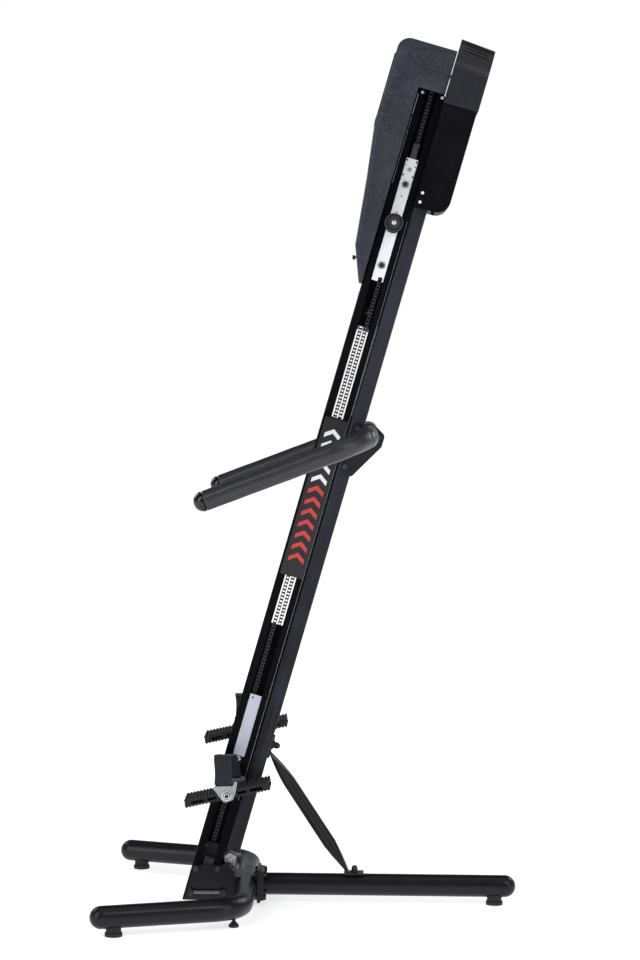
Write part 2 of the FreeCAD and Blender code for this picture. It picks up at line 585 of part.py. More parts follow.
# ---------------------------------------------------------------- pedal, about its own axle
HUB_R = 9.0
PLATE_FOOT = [(23, 8), (16.5, -11.5), (-1, -18), (-10, -16.5), (-36.5, 18)]
OUTER_PLATE = [(-36, 24), (16, 26), (22, 39), (28, 35)] + PLATE_FOOT
INNER_PLATE = [(-36, 24), (28, 27), (38, 34), (46, 26), (40, 15)] + PLATE_FOOT


def pedal_parts():
    """Right pedal with the axle at the origin, x to the rear; by node name."""
    half = PEDAL_LENGTH / 2
    bore = AXLE_R + 0.05

    def side_plate(y0, y1):
        plate = slab(corners(2 - half, half - 2, -PEDAL_CORE, PEDAL_CORE), y0, y1, 5)
        for x0, x1 in ((-98, -62), (-54, -28), (28, 54), (62, 98)):
            plate = plate.cut(slab(corners(x0, x1, -3.6, 3.6), y0 - 1, y1 + 1, 3.5))
        return plate

    hub = rod(HUB_R, (0, -PEDAL_OUTER + 0.3, 0), (0, -PEDAL_INNER, 0))
    bars = [rod(5.5, (side * (half - 14), -PEDAL_OUTER + 1, 0), (side * (half - 14), -PEDAL_INNER - 1, 0))
            for side in (-1, 1)]
    cheeks = [side_plate(-PEDAL_OUTER, -PEDAL_OUTER + 5), side_plate(-PEDAL_INNER - 5, -PEDAL_INNER)]
    frame = fused(cheeks + [hub] + bars)
    frame = frame.cut(rod(bore, (0, -200, 0), (0, -40, 0)))

    def ribbed(up):
        ribs = int(PEDAL_LENGTH // RIB_PITCH)
        start = -ribs * RIB_PITCH / 2
        low, valley, crest = PEDAL_CORE + 0.02, PEDAL_CORE + 1.4, PEDAL_CORE + 4.2
        outline = [(start, low * up)]
        for i in range(ribs):
            x = start + i * RIB_PITCH
            outline += [(x, valley * up), (x + 2.2, valley * up), (x + 3.2, crest * up)]
            outline += [(x + 7.2, crest * up), (x + 8.2, valley * up)]
        outline += [(-start, valley * up), (-start, low * up)]
        return slab(outline, -PEDAL_OUTER + 1, -PEDAL_INNER - 1)

    clear = rod(HUB_R + 0.05, (0, -200, 0), (0, -40, 0))
    treads = group([ribbed(1).cut(clear), ribbed(-1).cut(clear)])
    return {"pedal": frame, "pedal_treads": treads}


def strap_parts(tops):
    """Right strap plates and webbing loop, hanging upright on the axle at the origin."""
    bore = AXLE_R + 0.05

    # one zinc plate outside the pedal and one inside
    def strap_plate(points, y0, y1):
        return slab(points, y0, y1, 2.5).cut(rod(bore, (0, y0 - 1, 0), (0, y1 + 1, 0)))

    plates = group([strap_plate(OUTER_PLATE, -PEDAL_OUTER - 3.2, -PEDAL_OUTER - 0.2),
                    strap_plate(INNER_PLATE, -PEDAL_INNER + 0.2, -PEDAL_INNER + 3.2)])

    outer_y = -PEDAL_OUTER - 3.4
    inner_y = outer_y + (-PEDAL_INNER + 3.6 - outer_y) / math.cos(math.radians(STRAP_SKEW))
    t = STRAP_THICK

    def loop(grow, foot, radius):
        out_y, in_y = outer_y - grow, inner_y + grow
        line = [(out_y, foot), (out_y, tops[0] - t + grow), (in_y, tops[1] - t + grow), (in_y, foot)]
        face = Part.Face(smooth_path([(0, y, z) for y, z in line], [0, radius, radius, 0], closed=True))
        face.rotate(Vector(0, outer_y, 0), Vector(0, 0, 1), -STRAP_SKEW)
        face.translate(Vector(-34 - (t - grow), 0, 0))
        return face.extrude(Vector(STRAP_WIDTH + 2 * (t - grow), 0, 0))

    strap = loop(t, 29.5, 14).cut(loop(0, 20, 11))
    return {"strap_plates": plates, "toe_strap": strap}


def place_pedal(shape, rise, tilt):
    pivot = mast_point(SLOT_MID, 0, PEDAL_AT + rise)
    moved = shape.copy()
    turn = Placement(pivot, Rotation(Vector(0, 1, 0), -tilt))
    moved.Placement = turn.multiply(moved.Placement)
    return moved


def limb_parts():
    pedal = pedal_parts()
    sides = (("right", False, 0.0, 0.0, REAR_LINE, FRONT_LINE),
             ("left", True, -SIDE_OFFSET, SIDE_OFFSET, FRONT_LINE, REAR_LINE))
    for name, flip, hand_rise, foot_rise, hand_line, foot_line in sides:
        for node, shape in hand_parts(hand_line).items():
            part = mirrored(shape) if flip else shape
            save(f"{name}_{node}", lean(raised(part, hand_rise)))
        for node, shape in foot_slider_parts(foot_line).items():
            part = mirrored(shape) if flip else shape
            save(f"{name}_{node}", lean(raised(part, foot_rise)))
        for parts, tilt in ((pedal, PEDAL_TILT), (strap_parts(STRAP_TOPS[name]), 0.0)):
            for node, shape in parts.items():
                part = mirrored(shape) if flip else shape
                save(f"{name}_{node}", place_pedal(part, foot_rise, tilt))


# ---------------------------------------------------------------- handrail
def handrail_parts():
    cross = mast_point(HANDRAIL_AT[0], 0, HANDRAIL_AT[1])
    y = HANDRAIL_HALF
    end_x = HANDRAIL_END_X
    end_z = cross.z - (cross.x - end_x) * math.tan(math.radians(HANDRAIL_SLOPE))
    path = [(end_x, -y, end_z), (cross.x, -y, cross.z), (cross.x, y, cross.z), (end_x, y, end_z)]
    tube = swept(path, RAIL_TUBE_R, HANDRAIL_BEND).cut(swept(path, RAIL_TUBE_R - 2.5, HANDRAIL_BEND))
    save("handrail_tube", tube)

    foam = swept(path, FOAM_R, HANDRAIL_BEND).cut(swept(path, RAIL_TUBE_R, HANDRAIL_BEND))
    foam = foam.cut(box(-600, 600, -62, 62, 600, 2000))
    save("handrail_foam", foam)

    slope = math.radians(HANDRAIL_SLOPE)
    out = Vector(-math.cos(slope), 0, -math.sin(slope))
    plugs = []
    for side in (-1, 1):
        tip = Vector(end_x, side * y, end_z)
        stem = Part.makeCylinder(RAIL_TUBE_R - 2.5, 20, tip - out * 20, out)
        ball = Part.makeSphere(FOAM_R, tip)
        behind = Part.makeCylinder(FOAM_R + 1, 40, tip + out * 0.2, out * -1)
        plugs.append(fused([ball.cut(behind), Part.makeCylinder(RAIL_TUBE_R - 2.5, 0.3, tip, out), stem]))
    save("handrail_end_plugs", group(plugs))

    plate = slab([(86, 1221), (120, 1222), (176, 1322), (176, 1352), (152, 1366), (86, 1366)],
                 -MAST_HALF - 5.4, -MAST_HALF - 0.4, 7)
    x, z = HANDRAIL_AT
    plate = plate.cut(rod(RAIL_TUBE_R + 0.1, (x, -80, z), (x, 80, z)))
    for x, z in HANDRAIL_BOLTS:
        plate = plate.cut(rod(4.3, (x, -80, z), (x, 80, z)))
    save("handrail_brackets", lean(both_sides([plate])))


# ---------------------------------------------------------------- console housing
HOUSING_WALL = 3.0
HOUSING_SEAM = 2137.0        # the front bends here, and the two mouldings meet
HOUSING_FOOT = 1732.0
HOUSING_FOOT_HALF = 48.0
HOUSING_EDGE_R = 14.0        # rounding between the sides and the front
FACE_X = -85.0
KNOB_AT = (-34.2, 1796.0)
KNOB_AXIS = (-0.93, 0, -0.366)
KNOB_R = 6.0
HOUSING_FRONT = [(-9, HOUSING_FOOT), (-46, 1826), (-66, 2003), (FACE_X, HOUSING_SEAM), (FACE_X, HOUSING_TOP)]
HOUSING_FRONT_R = [0, 30, 400, 200, 34]


def housing_sides(margin):
    """Seen from the front: straight sides above the seam, and an arc down to the narrow foot."""
    wide = HOUSING_HALF - margin
    narrow = HOUSING_FOOT_HALF - margin
    drop = HOUSING_SEAM - HOUSING_FOOT + 12
    arc_r = (drop ** 2 + (wide - narrow) ** 2) / (2 * (wide - narrow))
    half_turn = math.asin(drop / arc_r) / 2
    x0, x1 = -120, 120
    top, foot = HOUSING_TOP + 9, HOUSING_SEAM - drop

    def taper(side):
        middle = Vector(x0, side * (wide - arc_r + arc_r * math.cos(half_turn)),
                        HOUSING_SEAM - arc_r * math.sin(half_turn))
        start, end = Vector(x0, side * wide, HOUSING_SEAM), Vector(x0, side * narrow, foot)
        return Part.Arc(start, middle, end).toShape()

    edges = [taper(-1), Part.makeLine(Vector(x0, -narrow, foot), Vector(x0, narrow, foot)), taper(1),
             Part.makeLine(Vector(x0, wide, HOUSING_SEAM), Vector(x0, wide, top)),
             Part.makeLine(Vector(x0, wide, top), Vector(x0, -wide, top)),
             Part.makeLine(Vector(x0, -wide, top), Vector(x0, -wide, HOUSING_SEAM))]
    return Part.Face(Part.Wire(edges)).extrude(Vector(x1 - x0, 0, 0))


def housing_form(inset):
    """Outer form, its side edges rounded from the foot round the top; with an inset, the room inside it."""
    past = 1.0 if inset else 0.0     # the room runs out through the foot, the back and the mast's side
    foot = HOUSING_FOOT - 6 * past
    notch = MAST_LENGTH + 1 - 2 * past
    back = HOUSING_BACK + past
    outline = [(-0.6 * (1 - past), foot), (HOUSING_FRONT[0][0] + inset + 2 * past, foot)]
    outline += [(x + inset, min(z, HOUSING_TOP - inset)) for x, z in HOUSING_FRONT[1:]]
    outline += [(back, HOUSING_TOP - inset), (back, notch), (-0.6 * (1 - past), notch)]
    radii = [0] + [max(0, r - inset) for r in HOUSING_FRONT_R] + [0, 0, 0]
    wire = smooth_path([(x, -90, z) for x, z in outline], radii, closed=True)
    body = Part.Face(wire).extrude(Vector(0, 180, 0)).common(housing_sides(inset))
    rim = []
    for edge in body.Edges:
        reach = edge.BoundBox
        runs_across = reach.YLength > 20
        at_mast = reach.XMin > -1 and reach.ZMax < notch + 1
        at_back = reach.XMin > back - 1
        level = reach.ZLength < 1 and reach.ZMin < notch + 1
        if not (runs_across or at_mast or at_back or level):
            rim.append(edge)
    return body.makeFillet(HOUSING_EDGE_R - inset, rim)


def console_parts():
    shell = housing_form(0).cut(housing_form(HOUSING_WALL))
    groove = []
    for half_long, half_high in ((125, 31), (122, 28)):
        ellipse = Part.Ellipse(Vector(HOUSING_BACK, 0, 2355), half_long, half_high)
        edge = ellipse.toShape()
        edge.rotate(Vector(HOUSING_BACK, 0, 2355), Vector(1, 0, 0), 90)
        face = Part.Face(Part.Wire(edge))
        face.translate(Vector(0, -HOUSING_HALF - 1, 0))
        groove.append(face.extrude(Vector(0, 2.4, 0)))
    groove_room = box(-100, HOUSING_BACK + 1, -90, 90, 2200, 2400)
    cut = groove[0].cut(groove[1]).common(groove_room)
    shell = shell.cut(cut).cut(mirrored(cut))
    seam = box(-100, 1, -100, 100, HOUSING_SEAM - 0.8, HOUSING_SEAM + 0.8)
    shell = shell.cut(seam.cut(housing_form(1.3)))
    shell = shell.cut(box(-90, -80, -52, 52, 2176, 2320))
    knob_axis = Vector(*KNOB_AXIS).normalize()
    knob_seat = Vector(KNOB_AT[0], 0, KNOB_AT[1])
    shell = shell.cut(Part.makeCylinder(3.0, 24, knob_seat - knob_axis * 16, knob_axis))
    save("console_housing", lean(shell))

    bezel = slab([(-87.5, 2146), (-85, 2146), (-85, 2346), (-87.5, 2346)], -70, 70)
    bezel = bezel.cut(box(-90, -80, -54, 54, 2180, 2316))
    save("console_face", lean(bezel))
    lens = box(-86.6, -83.6, -53.6, 53.6, 2180.4, 2315.6).cut(box(-85.1, -83, -54, -51.8, 2170, 2320))
    lens = lens.cut(box(-85.1, -83, 51.8, 54, 2170, 2320))
    lens = lens.cut(box(-85.1, -83, -54, 54, 2316.2 - 2, 2320)).cut(box(-85.1, -83, -54, 54, 2170, 2182))
    save("display_lens", lean(lens))

    knob = fused([Part.makeCylinder(2.6, 16, knob_seat - knob_axis * 12, knob_axis),
                  Part.makeCylinder(KNOB_R, 8, knob_seat + knob_axis * 2.5, knob_axis)])
    knob = knob.makeFillet(1.2, [e for e in knob.Edges if abs(e.Length - 2 * math.pi * KNOB_R) < 0.1])
    save("console_knob", lean(knob))


# ---------------------------------------------------------------- rear shroud
def shroud_parts():
    x0, x1 = SHROUD
    wall = 2.5

    def profile(radius, low, x):
        axis = TOP_AXIS + ARCH_RISE * (x1 - x) / (x1 - x0)
        foot = [Vector(x, -radius, low), Vector(x, radius, low)]
        shoulder = [Vector(x, -radius, axis), Vector(x, radius, axis)]
        crown = Part.Arc(shoulder[0], Vector(x, 0, axis + radius), shoulder[1]).toShape()
        return Part.Wire([Part.makeLine(foot[0], shoulder[0]), crown, Part.makeLine(shoulder[1], foot[1]),
                          Part.makeLine(foot[1], foot[0])])

    def arch(radius, low, xa, xb):
        return Part.makeLoft([profile(radius, low, xa), profile(radius, low, xb)], True, True)

    shell = arch(ARCH_R, SHROUD_SPLIT, x0, x1)
    skirt = box(x0 - 1, x1 + 1, -200, 200, 2100, SHROUD_SPLIT)
    shell = shell.cut(skirt).cut(arch(ARCH_R - wall, SHROUD_SPLIT - 20, x0 + wall, x1 - wall))
    shell = shell.cut(across([(-70, 2240), (70, 2240), (70, 2385), (-70, 2385)], x0 - 1, x0 + wall + 1, 20))
    louvre = box(x0 + 8, x1 - 22, 80, 110, -1.9, 1.9)
    for angle in LOUVRES:
        for turn in (angle, 180 - angle):
            slot = louvre.copy()
            slot.rotate(Vector(0, 0, 0), Vector(1, 0, 0), turn)
            slot.rotate(Vector(x1, 0, 0), Vector(0, 1, 0), math.degrees(math.atan(ARCH_RISE / (x1 - x0))))
            slot.translate(Vector(0, 0, TOP_AXIS))
            shell = shell.cut(slot)
    save("rear_shroud", lean(shell))

    half = ARCH_R - wall - 0.3
    bottom = SHROUD_BOTTOM
    top = SHROUD_SPLIT + 12
    outline = [(x0, bottom), (x1 - 0.3 - wall, bottom), (x1 - 0.3 - wall, top), (x0, top)]
    corner = 36.0

    def panel(points, radius, y):
        (xa, za), (xb, _), _, (_, zt) = points
        arc_mid = (xb - radius + radius * math.sin(math.pi / 4), za + radius - radius * math.cos(math.pi / 4))
        edges = [Part.makeLine(Vector(xa, y, za), Vector(xb - radius, y, za)),
                 Part.Arc(Vector(xb - radius, y, za), Vector(arc_mid[0], y, arc_mid[1]),
                          Vector(xb, y, za + radius)).toShape(),
                 Part.makeLine(Vector(xb, y, za + radius), Vector(xb, y, zt)),
                 Part.makeLine(Vector(xb, y, zt), Vector(xa, y, zt)),
                 Part.makeLine(Vector(xa, y, zt), Vector(xa, y, za))]
        return Part.Face(Part.Wire(edges)).extrude(Vector(0, -2 * y, 0))

    cover = panel(outline, corner, -half)
    hollow = [(x0 + wall, bottom + wall), (outline[1][0] - wall, bottom + wall),
              (outline[1][0] - wall, top + 1), (x0 + wall, top + 1)]
    cover = cover.cut(panel(hollow, corner - wall, -(half - wall)))
    clear = MAST_HALF + 0.5
    cover = cover.cut(box(x0 - 1, RAIL_DEPTH + BEAM_DEPTH + 0.5, -clear, clear, bottom - 1, top + 1))
    cover = cover.cut(box(x0 - 1, x0 + wall + 0.3, -half - 1, half + 1, SHROUD_SPLIT - 0.3, top + 1))
    nub = rod(5.0, (150 - 20, -60, bottom - 8), (150 - 20, -60, bottom + 1))
    save("rear_lower_cover", lean(fused([cover, nub])))


# ---------------------------------------------------------------- fasteners on the frame
def fastener_parts():
    def pan_head(x, y, z, out, radius=4.0, height=2.4):
        return rod(radius, (x, y, z), tuple(Vector(x, y, z) + Vector(*out) * height))

    screws = []
    for x in (13.5, 68.7):
        screws.append(pan_head(x, -MAST_HALF, MAST_LENGTH - 6, (0, -1, 0)))
    for z in (1982, 2007):
        screws.append(pan_head(89, -(ARCH_R - 2.8), z, (0, -1, 0)))
    screws.append(pan_head(0.0, -MAST_HALF + 12, 1702, (-1, 0, 0)))
    save("cover_screws", lean(both_sides(screws)))

    bolts = []
    mate = FLANGE_X + 2 * FLANGE_THICK
    nut = FLANGE_X - 8
    for y in (-34, 34):
        for z in (20, 83):
            shank = rod(5, (nut, y, z), (mate, y, z))
            head = hex_head(15, (mate, y, z), (mate + 7, y, z))
            bolts.append(fused([head, shank, hex_head(15, (nut, y, z), (FLANGE_X, y, z))]))
    for x, z in BRACKET_BOLTS:
        for side in (-1, 1):
            start = (x, side * (BRACKET_OUT + 7), z)
            face = (x, side * BRACKET_OUT, z)
            bolts.append(fused([hex_head(15, start, face), rod(5, face, (x, side * (MAST_HALF - 3), z))]))
    for x, z in HANDRAIL_BOLTS:
        for side in (-1, 1):
            plate = side * (MAST_HALF + 5.4)
            inner = MAST_HALF + 0.1 if x < 120 else 36.0
            head = hex_head(13, (x, plate + side * 6, z), (x, plate, z))
            bolts.append(lean(fused([head, rod(4, (x, plate, z), (x, side * inner, z))])))
    adjuster = fused([hex_head(17, (-329, -61, 38), (-321, -61, 38)),
                      rod(4.5, (-321, -61, 38), (-238, -61, 38)),
                      box(-246, -232, -67, -BRACKET_OUT, 30, 46)])
    bolts.append(adjuster)
    bolts.append(lean(rod(4.0, (13.5, 0, BOTTOM_AXIS), (62.7, 0, BOTTOM_AXIS))))   # idler's axle pin
    save("frame_bolts", group(bolts))


base_parts()
mast_foot_parts()
stay_parts()
mast_parts()
drive_parts()
limb_parts()
handrail_parts()
console_parts()
shroud_parts()
fastener_parts()
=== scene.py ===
import json
import math

import bpy
from mathutils import Matrix, Vector


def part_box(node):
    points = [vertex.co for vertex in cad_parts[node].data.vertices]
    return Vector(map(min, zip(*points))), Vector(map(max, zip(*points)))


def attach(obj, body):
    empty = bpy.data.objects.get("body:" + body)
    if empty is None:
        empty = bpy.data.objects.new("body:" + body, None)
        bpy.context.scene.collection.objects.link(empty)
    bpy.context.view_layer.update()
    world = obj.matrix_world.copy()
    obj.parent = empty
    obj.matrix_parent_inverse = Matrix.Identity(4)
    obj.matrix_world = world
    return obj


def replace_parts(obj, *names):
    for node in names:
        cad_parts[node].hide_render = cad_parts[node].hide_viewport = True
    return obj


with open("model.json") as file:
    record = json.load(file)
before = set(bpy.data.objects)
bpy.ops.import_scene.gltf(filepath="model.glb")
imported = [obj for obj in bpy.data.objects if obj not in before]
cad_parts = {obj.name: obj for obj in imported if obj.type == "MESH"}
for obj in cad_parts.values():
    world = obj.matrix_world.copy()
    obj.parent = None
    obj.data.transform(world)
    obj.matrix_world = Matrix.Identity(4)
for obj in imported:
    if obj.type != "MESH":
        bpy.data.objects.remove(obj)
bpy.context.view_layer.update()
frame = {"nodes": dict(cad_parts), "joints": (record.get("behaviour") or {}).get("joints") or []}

# ---------------------------------------------------------------- the machine's own axes
# Mast coordinates: x is depth to the rear, y across, z up the mast, from the top sprocket's centre.
joints = {j["name"]: j for j in frame["joints"]}
MAST_UP = Vector(joints["right_hand_slide"]["axis"]).normalized()
ACROSS = Vector((0, 1, 0))
MAST_BACK = ACROSS.cross(MAST_UP)
MAST_LEAN = math.atan2(MAST_UP.x, MAST_UP.z)
TOP_CENTRE = Vector(joints["drive_spin"]["pos_m"])
MAST = Matrix.Translation(TOP_CENTRE) @ Matrix((MAST_BACK, ACROSS, MAST_UP)).transposed().to_4x4()
TO_MAST = MAST.inverted()
SIDES = (("right", -1), ("left", 1))


def span(node):
    """Lowest and highest corner of a CAD node in mast coordinates."""
    points = [TO_MAST @ v.co for v in frame["nodes"][node].data.vertices]
    low = Vector([min(p[i] for p in points) for i in range(3)])
    high = Vector([max(p[i] for p in points) for i in range(3)])
    return low, high


# ---------------------------------------------------------------- materials
class Look:
    """A procedural material on object coordinates, with the grain turned along the mast if asked."""

    def __init__(self, name, colour, roughness, metallic=0.0, along_mast=False, **sockets):
        self.material = bpy.data.materials.new(name)
        self.material.use_nodes = True
        self.nodes = self.material.node_tree.nodes
        self.links = self.material.node_tree.links
        self.shader = self.nodes["Principled BSDF"]
        self.shader.inputs["Base Color"].default_value = (*colour, 1)
        self.shader.inputs["Roughness"].default_value = roughness
        self.shader.inputs["Metallic"].default_value = metallic
        for socket, value in sockets.items():
            self.shader.inputs[socket.replace("_", " ")].default_value = value
        self.material.diffuse_color = (*colour, 1)
        self.place = self.nodes.new("ShaderNodeTexCoord").outputs["Object"]
        if along_mast:
            turned = self.nodes.new("ShaderNodeMapping")
            turned.inputs["Rotation"].default_value = (0, -MAST_LEAN, 0)
            self.links.new(self.place, turned.inputs["Vector"])
            self.place = turned.outputs["Vector"]
        self.normal = None

    def stretched(self, scale):
        """Coordinates scaled on each axis; a scale under 1 makes the pattern longer there."""
        mapping = self.nodes.new("ShaderNodeMapping")
        mapping.inputs["Scale"].default_value = scale
        self.links.new(self.place, mapping.inputs["Vector"])
        return mapping.outputs["Vector"]

    def noise(self, size, stretch=(1, 1, 1), detail=3.0, distortion=0.0):
        """Noise with features about `size` metres across, longer where stretch is under 1."""
        node = self.nodes.new("ShaderNodeTexNoise")
        node.inputs["Scale"].default_value = 1.0 / size
        node.inputs["Detail"].default_value = detail
        node.inputs["Distortion"].default_value = distortion
        self.links.new(self.stretched(stretch), node.inputs["Vector"])
        return node.outputs["Fac"]

    def cells(self, size):
        """Distance to the middle of cells about `size` metres across."""
        node = self.nodes.new("ShaderNodeTexVoronoi")
        node.inputs["Scale"].default_value = 1.0 / size
        self.links.new(self.place, node.inputs["Vector"])
        return node.outputs["Distance"]

    def ranged(self, factor, low, high, start=0.3, end=0.7):
        """Maps the factor's start..end to low..high, and holds it beyond."""
        node = self.nodes.new("ShaderNodeMapRange")
        node.inputs["From Min"].default_value = start
        node.inputs["From Max"].default_value = end
        node.inputs["To Min"].default_value = low
        node.inputs["To Max"].default_value = high
        self.links.new(factor, node.inputs["Value"])
        return node.outputs["Result"]

    def tint(self, factor, colour, start=0.35, end=0.65, amount=1.0):
        """Mixes another colour in where the factor is high."""
        mix = self.nodes.new("ShaderNodeMix")
        mix.data_type = "RGBA"
        mix.inputs["B"].default_value = (*colour, 1)
        base = self.shader.inputs["Base Color"]
        if base.is_linked:
            self.links.new(base.links[0].from_socket, mix.inputs["A"])
        else:
            mix.inputs["A"].default_value = base.default_value
        self.links.new(self.ranged(factor, 0.0, amount, start, end), mix.inputs["Factor"])
        self.links.new(mix.outputs["Result"], base)
        return self

    def gloss(self, factor, low, high, start=0.3, end=0.7):
        """Lets the factor drive the roughness."""
        self.links.new(self.ranged(factor, low, high, start, end), self.shader.inputs["Roughness"])
        return self

    def relief(self, height, depth, strength=1.0):
        """Bump whose full height is `depth` metres."""
        bump = self.nodes.new("ShaderNodeBump")
        bump.inputs["Distance"].default_value = depth
        bump.inputs["Strength"].default_value = strength
        self.links.new(height, bump.inputs["Height"])
        if self.normal:
            self.links.new(self.normal, bump.inputs["Normal"])
        self.normal = bump.outputs["Normal"]
        self.links.new(self.normal, self.shader.inputs["Normal"])
        return self

    def soft_edges(self, radius):
        """Shades the first `radius` metres each side of an edge as a small round."""
        bevel = self.nodes.new("ShaderNodeBevel")
        bevel.samples = 6
        bevel.inputs["Radius"].default_value = radius
        self.normal = bevel.outputs["Normal"]
        self.links.new(self.normal, self.shader.inputs["Normal"])
        return self

    def worn_edges(self, colour, amount=0.6, low=0.53, high=0.6):
        """Paler paint on sharp edges, where hands and feet rub, broken up by noise."""
        edge = self.nodes.new("ShaderNodeNewGeometry").outputs["Pointiness"]
        spots = self.ranged(self.noise(0.012), 0.2, 1.0)
        product = self.nodes.new("ShaderNodeMath")
        product.operation = "MULTIPLY"
        self.links.new(self.ranged(edge, 0.0, 1.0, low, high), product.inputs[0])
        self.links.new(spots, product.inputs[1])
        return self.tint(product.outputs[0], colour, 0.0, 1.0, amount)


# Colours are linear RGB. Noise and cell sizes, bump heights and edge radii are in metres.
def powder_coat():
    look = Look("powder_coat", (0.0044, 0.0044, 0.0086), 0.29, Specular_IOR_Level=0.27)
    look.soft_edges(0.0010)
    look.tint(look.noise(0.22, detail=2), (0.0064, 0.0064, 0.0102))
    look.tint(look.noise(0.0016, detail=1), (0.015, 0.015, 0.021), 0.58, 0.72, 0.6)
    look.gloss(look.noise(0.09, detail=4), 0.26, 0.36)
    look.relief(look.noise(0.0022, detail=2), 0.00007)
    return look.worn_edges((0.035, 0.036, 0.042), 0.06).material


PAINTED_SHADE_FADE = (0.55, 1.25)      # painted shade towards the mast foot fades out between these heights


def extrusion(name, colour, roughness, specular, painted_shade_colour=None):
    """Anodised profile, which may carry painted shade, darker towards the mast foot."""
    look = Look(name, colour, roughness, along_mast=True, Specular_IOR_Level=specular)
    if painted_shade_colour:
        # painted shade: tinted darker towards the mast foot, fading out between the two heights
        height = look.nodes.new("ShaderNodeSeparateXYZ")
        look.links.new(look.place, height.inputs["Vector"])
        look.tint(look.ranged(height.outputs["Z"], 1.0, 0.0, *PAINTED_SHADE_FADE), painted_shade_colour, 0.0, 1.0)
    look.soft_edges(0.0012)
    lengthwise = (1, 1, 0.02)
    look.tint(look.noise(0.004, lengthwise, 2), tuple(c * 1.5 for c in colour), 0.4, 0.75, 0.7)
    look.tint(look.noise(0.11, detail=5), tuple(c * 1.35 for c in colour), 0.5, 0.8)
    look.gloss(look.noise(0.006, lengthwise, 3), roughness - 0.05, roughness + 0.07)
    look.relief(look.noise(0.0011, lengthwise, 2), 0.00003)
    return look.worn_edges((0.05, 0.05, 0.057), 0.03).material


def housing_plastic():
    look = Look("housing_plastic", (0.0105, 0.0120, 0.0205), 0.45, Specular_IOR_Level=0.30)
    look.soft_edges(0.0012)
    look.tint(look.noise(0.05, detail=6, distortion=0.6), (0.0185, 0.0210, 0.0330), 0.4, 0.7)
    # fine pale specks: painted glints on the textured grain
    look.tint(look.noise(0.0026, detail=2), (0.055, 0.059, 0.078), 0.56, 0.70, 0.9)
    look.tint(look.noise(0.0060, detail=3), (0.007, 0.008, 0.012), 0.55, 0.75, 0.7)
    look.gloss(look.noise(0.03, detail=4), 0.38, 0.52)
    look.relief(look.cells(0.0024), 0.00035, 0.8)
    look.relief(look.noise(0.0009, detail=2), 0.00012)
    return look.worn_edges((0.07, 0.075, 0.09), 0.28).material


def shroud_gloss():
    look = Look("shroud_gloss", (0.0090, 0.0092, 0.0145), 0.34, along_mast=True, Specular_IOR_Level=0.30,
                Coat_Weight=0.15, Coat_Roughness=0.30)
    look.soft_edges(0.0010)
    look.tint(look.noise(0.06, detail=4), (0.008, 0.008, 0.0105))
    look.gloss(look.noise(0.012, (1, 1, 0.15), 4, 0.5), 0.30, 0.42, 0.45, 0.8)
    look.relief(look.noise(0.03, detail=2), 0.00004)
    return look.material


def plug_plastic():
    look = Look("plug_plastic", (0.0035, 0.0035, 0.0040), 0.16, Specular_IOR_Level=0.4)
    look.tint(look.noise(0.02, detail=4), (0.006, 0.006, 0.007), 0.45, 0.75)
    look.gloss(look.noise(0.008, detail=4), 0.13, 0.24)
    look.relief(look.noise(0.012, detail=2), 0.00006)
    return look.material


def cover_plastic():
    look = Look("cover_plastic", (0.0022, 0.0022, 0.0036), 0.42, Specular_IOR_Level=0.03)
    look.soft_edges(0.0010)
    look.tint(look.noise(0.07, detail=5), (0.0040, 0.0040, 0.0058))
    look.tint(look.noise(0.0015, detail=1), (0.009, 0.009, 0.012), 0.62, 0.75, 0.6)
    look.gloss(look.noise(0.04, detail=3), 0.38, 0.50)
    look.relief(look.noise(0.0012, detail=3), 0.00012)
    return look.worn_edges((0.04, 0.04, 0.045), 0.04).material


def rubber():
    look = Look("rubber", (0.0085, 0.0085, 0.0095), 0.66, Specular_IOR_Level=0.35)
    look.tint(look.noise(0.018, detail=5), (0.015, 0.015, 0.016), 0.45, 0.75)
    look.gloss(look.noise(0.01, detail=4), 0.56, 0.78)
    look.relief(look.noise(0.0007, detail=3), 0.00010)
    return look.worn_edges((0.045, 0.045, 0.047), 0.5).material


def foam():
    look = Look("foam", (0.0100, 0.0104, 0.0165), 0.38, Specular_IOR_Level=0.52)
    look.tint(look.noise(0.035, detail=5), (0.0145, 0.0150, 0.0205), 0.4, 0.75)
    look.gloss(look.noise(0.02, detail=4), 0.33, 0.45)
    look.relief(look.cells(0.0011), 0.00014, 0.8)
    look.relief(look.noise(0.006, detail=3), 0.00025)
    return look.material


def satin_aluminium(name, colour):
    look = Look(name, colour, 0.42, 0.45, along_mast=True)
    look.tint(look.noise(0.0025, (1, 1, 0.03), 3), tuple(c * 0.78 for c in colour), 0.4, 0.8, 0.5)
    look.tint(look.noise(0.03, detail=4), tuple(c * 0.86 for c in colour), 0.5, 0.8, 0.7)
    look.gloss(look.noise(0.002, (1, 1, 0.04), 2), 0.36, 0.52)
    look.relief(look.noise(0.0009, (1, 1, 0.03), 2), 0.00003)
    return look.material


def metal(name, colour, roughness, grain=0.0015, depth=0.00003, metallic=1.0):
    """Plated or turned steel with fine mottling."""
    look = Look(name, colour, roughness, metallic)
    look.tint(look.noise(0.012, detail=5), tuple(c * 0.72 for c in colour), 0.45, 0.75)
    look.gloss(look.noise(0.005, detail=4), roughness - 0.07, roughness + 0.12)
    look.relief(look.noise(grain, (1, 1, 0.3), 3), depth)
    return look.material


def black_steel():
    look = Look("black_steel", (0.014, 0.014, 0.016), 0.42, 0.3)
    look.tint(look.noise(0.006, detail=5), (0.030, 0.029, 0.029), 0.5, 0.8)
    look.gloss(look.noise(0.008, detail=4), 0.34, 0.52)
    look.relief(look.noise(0.0012, detail=3), 0.00005)
    return look.worn_edges((0.12, 0.12, 0.13), 0.35, 0.57, 0.68).material


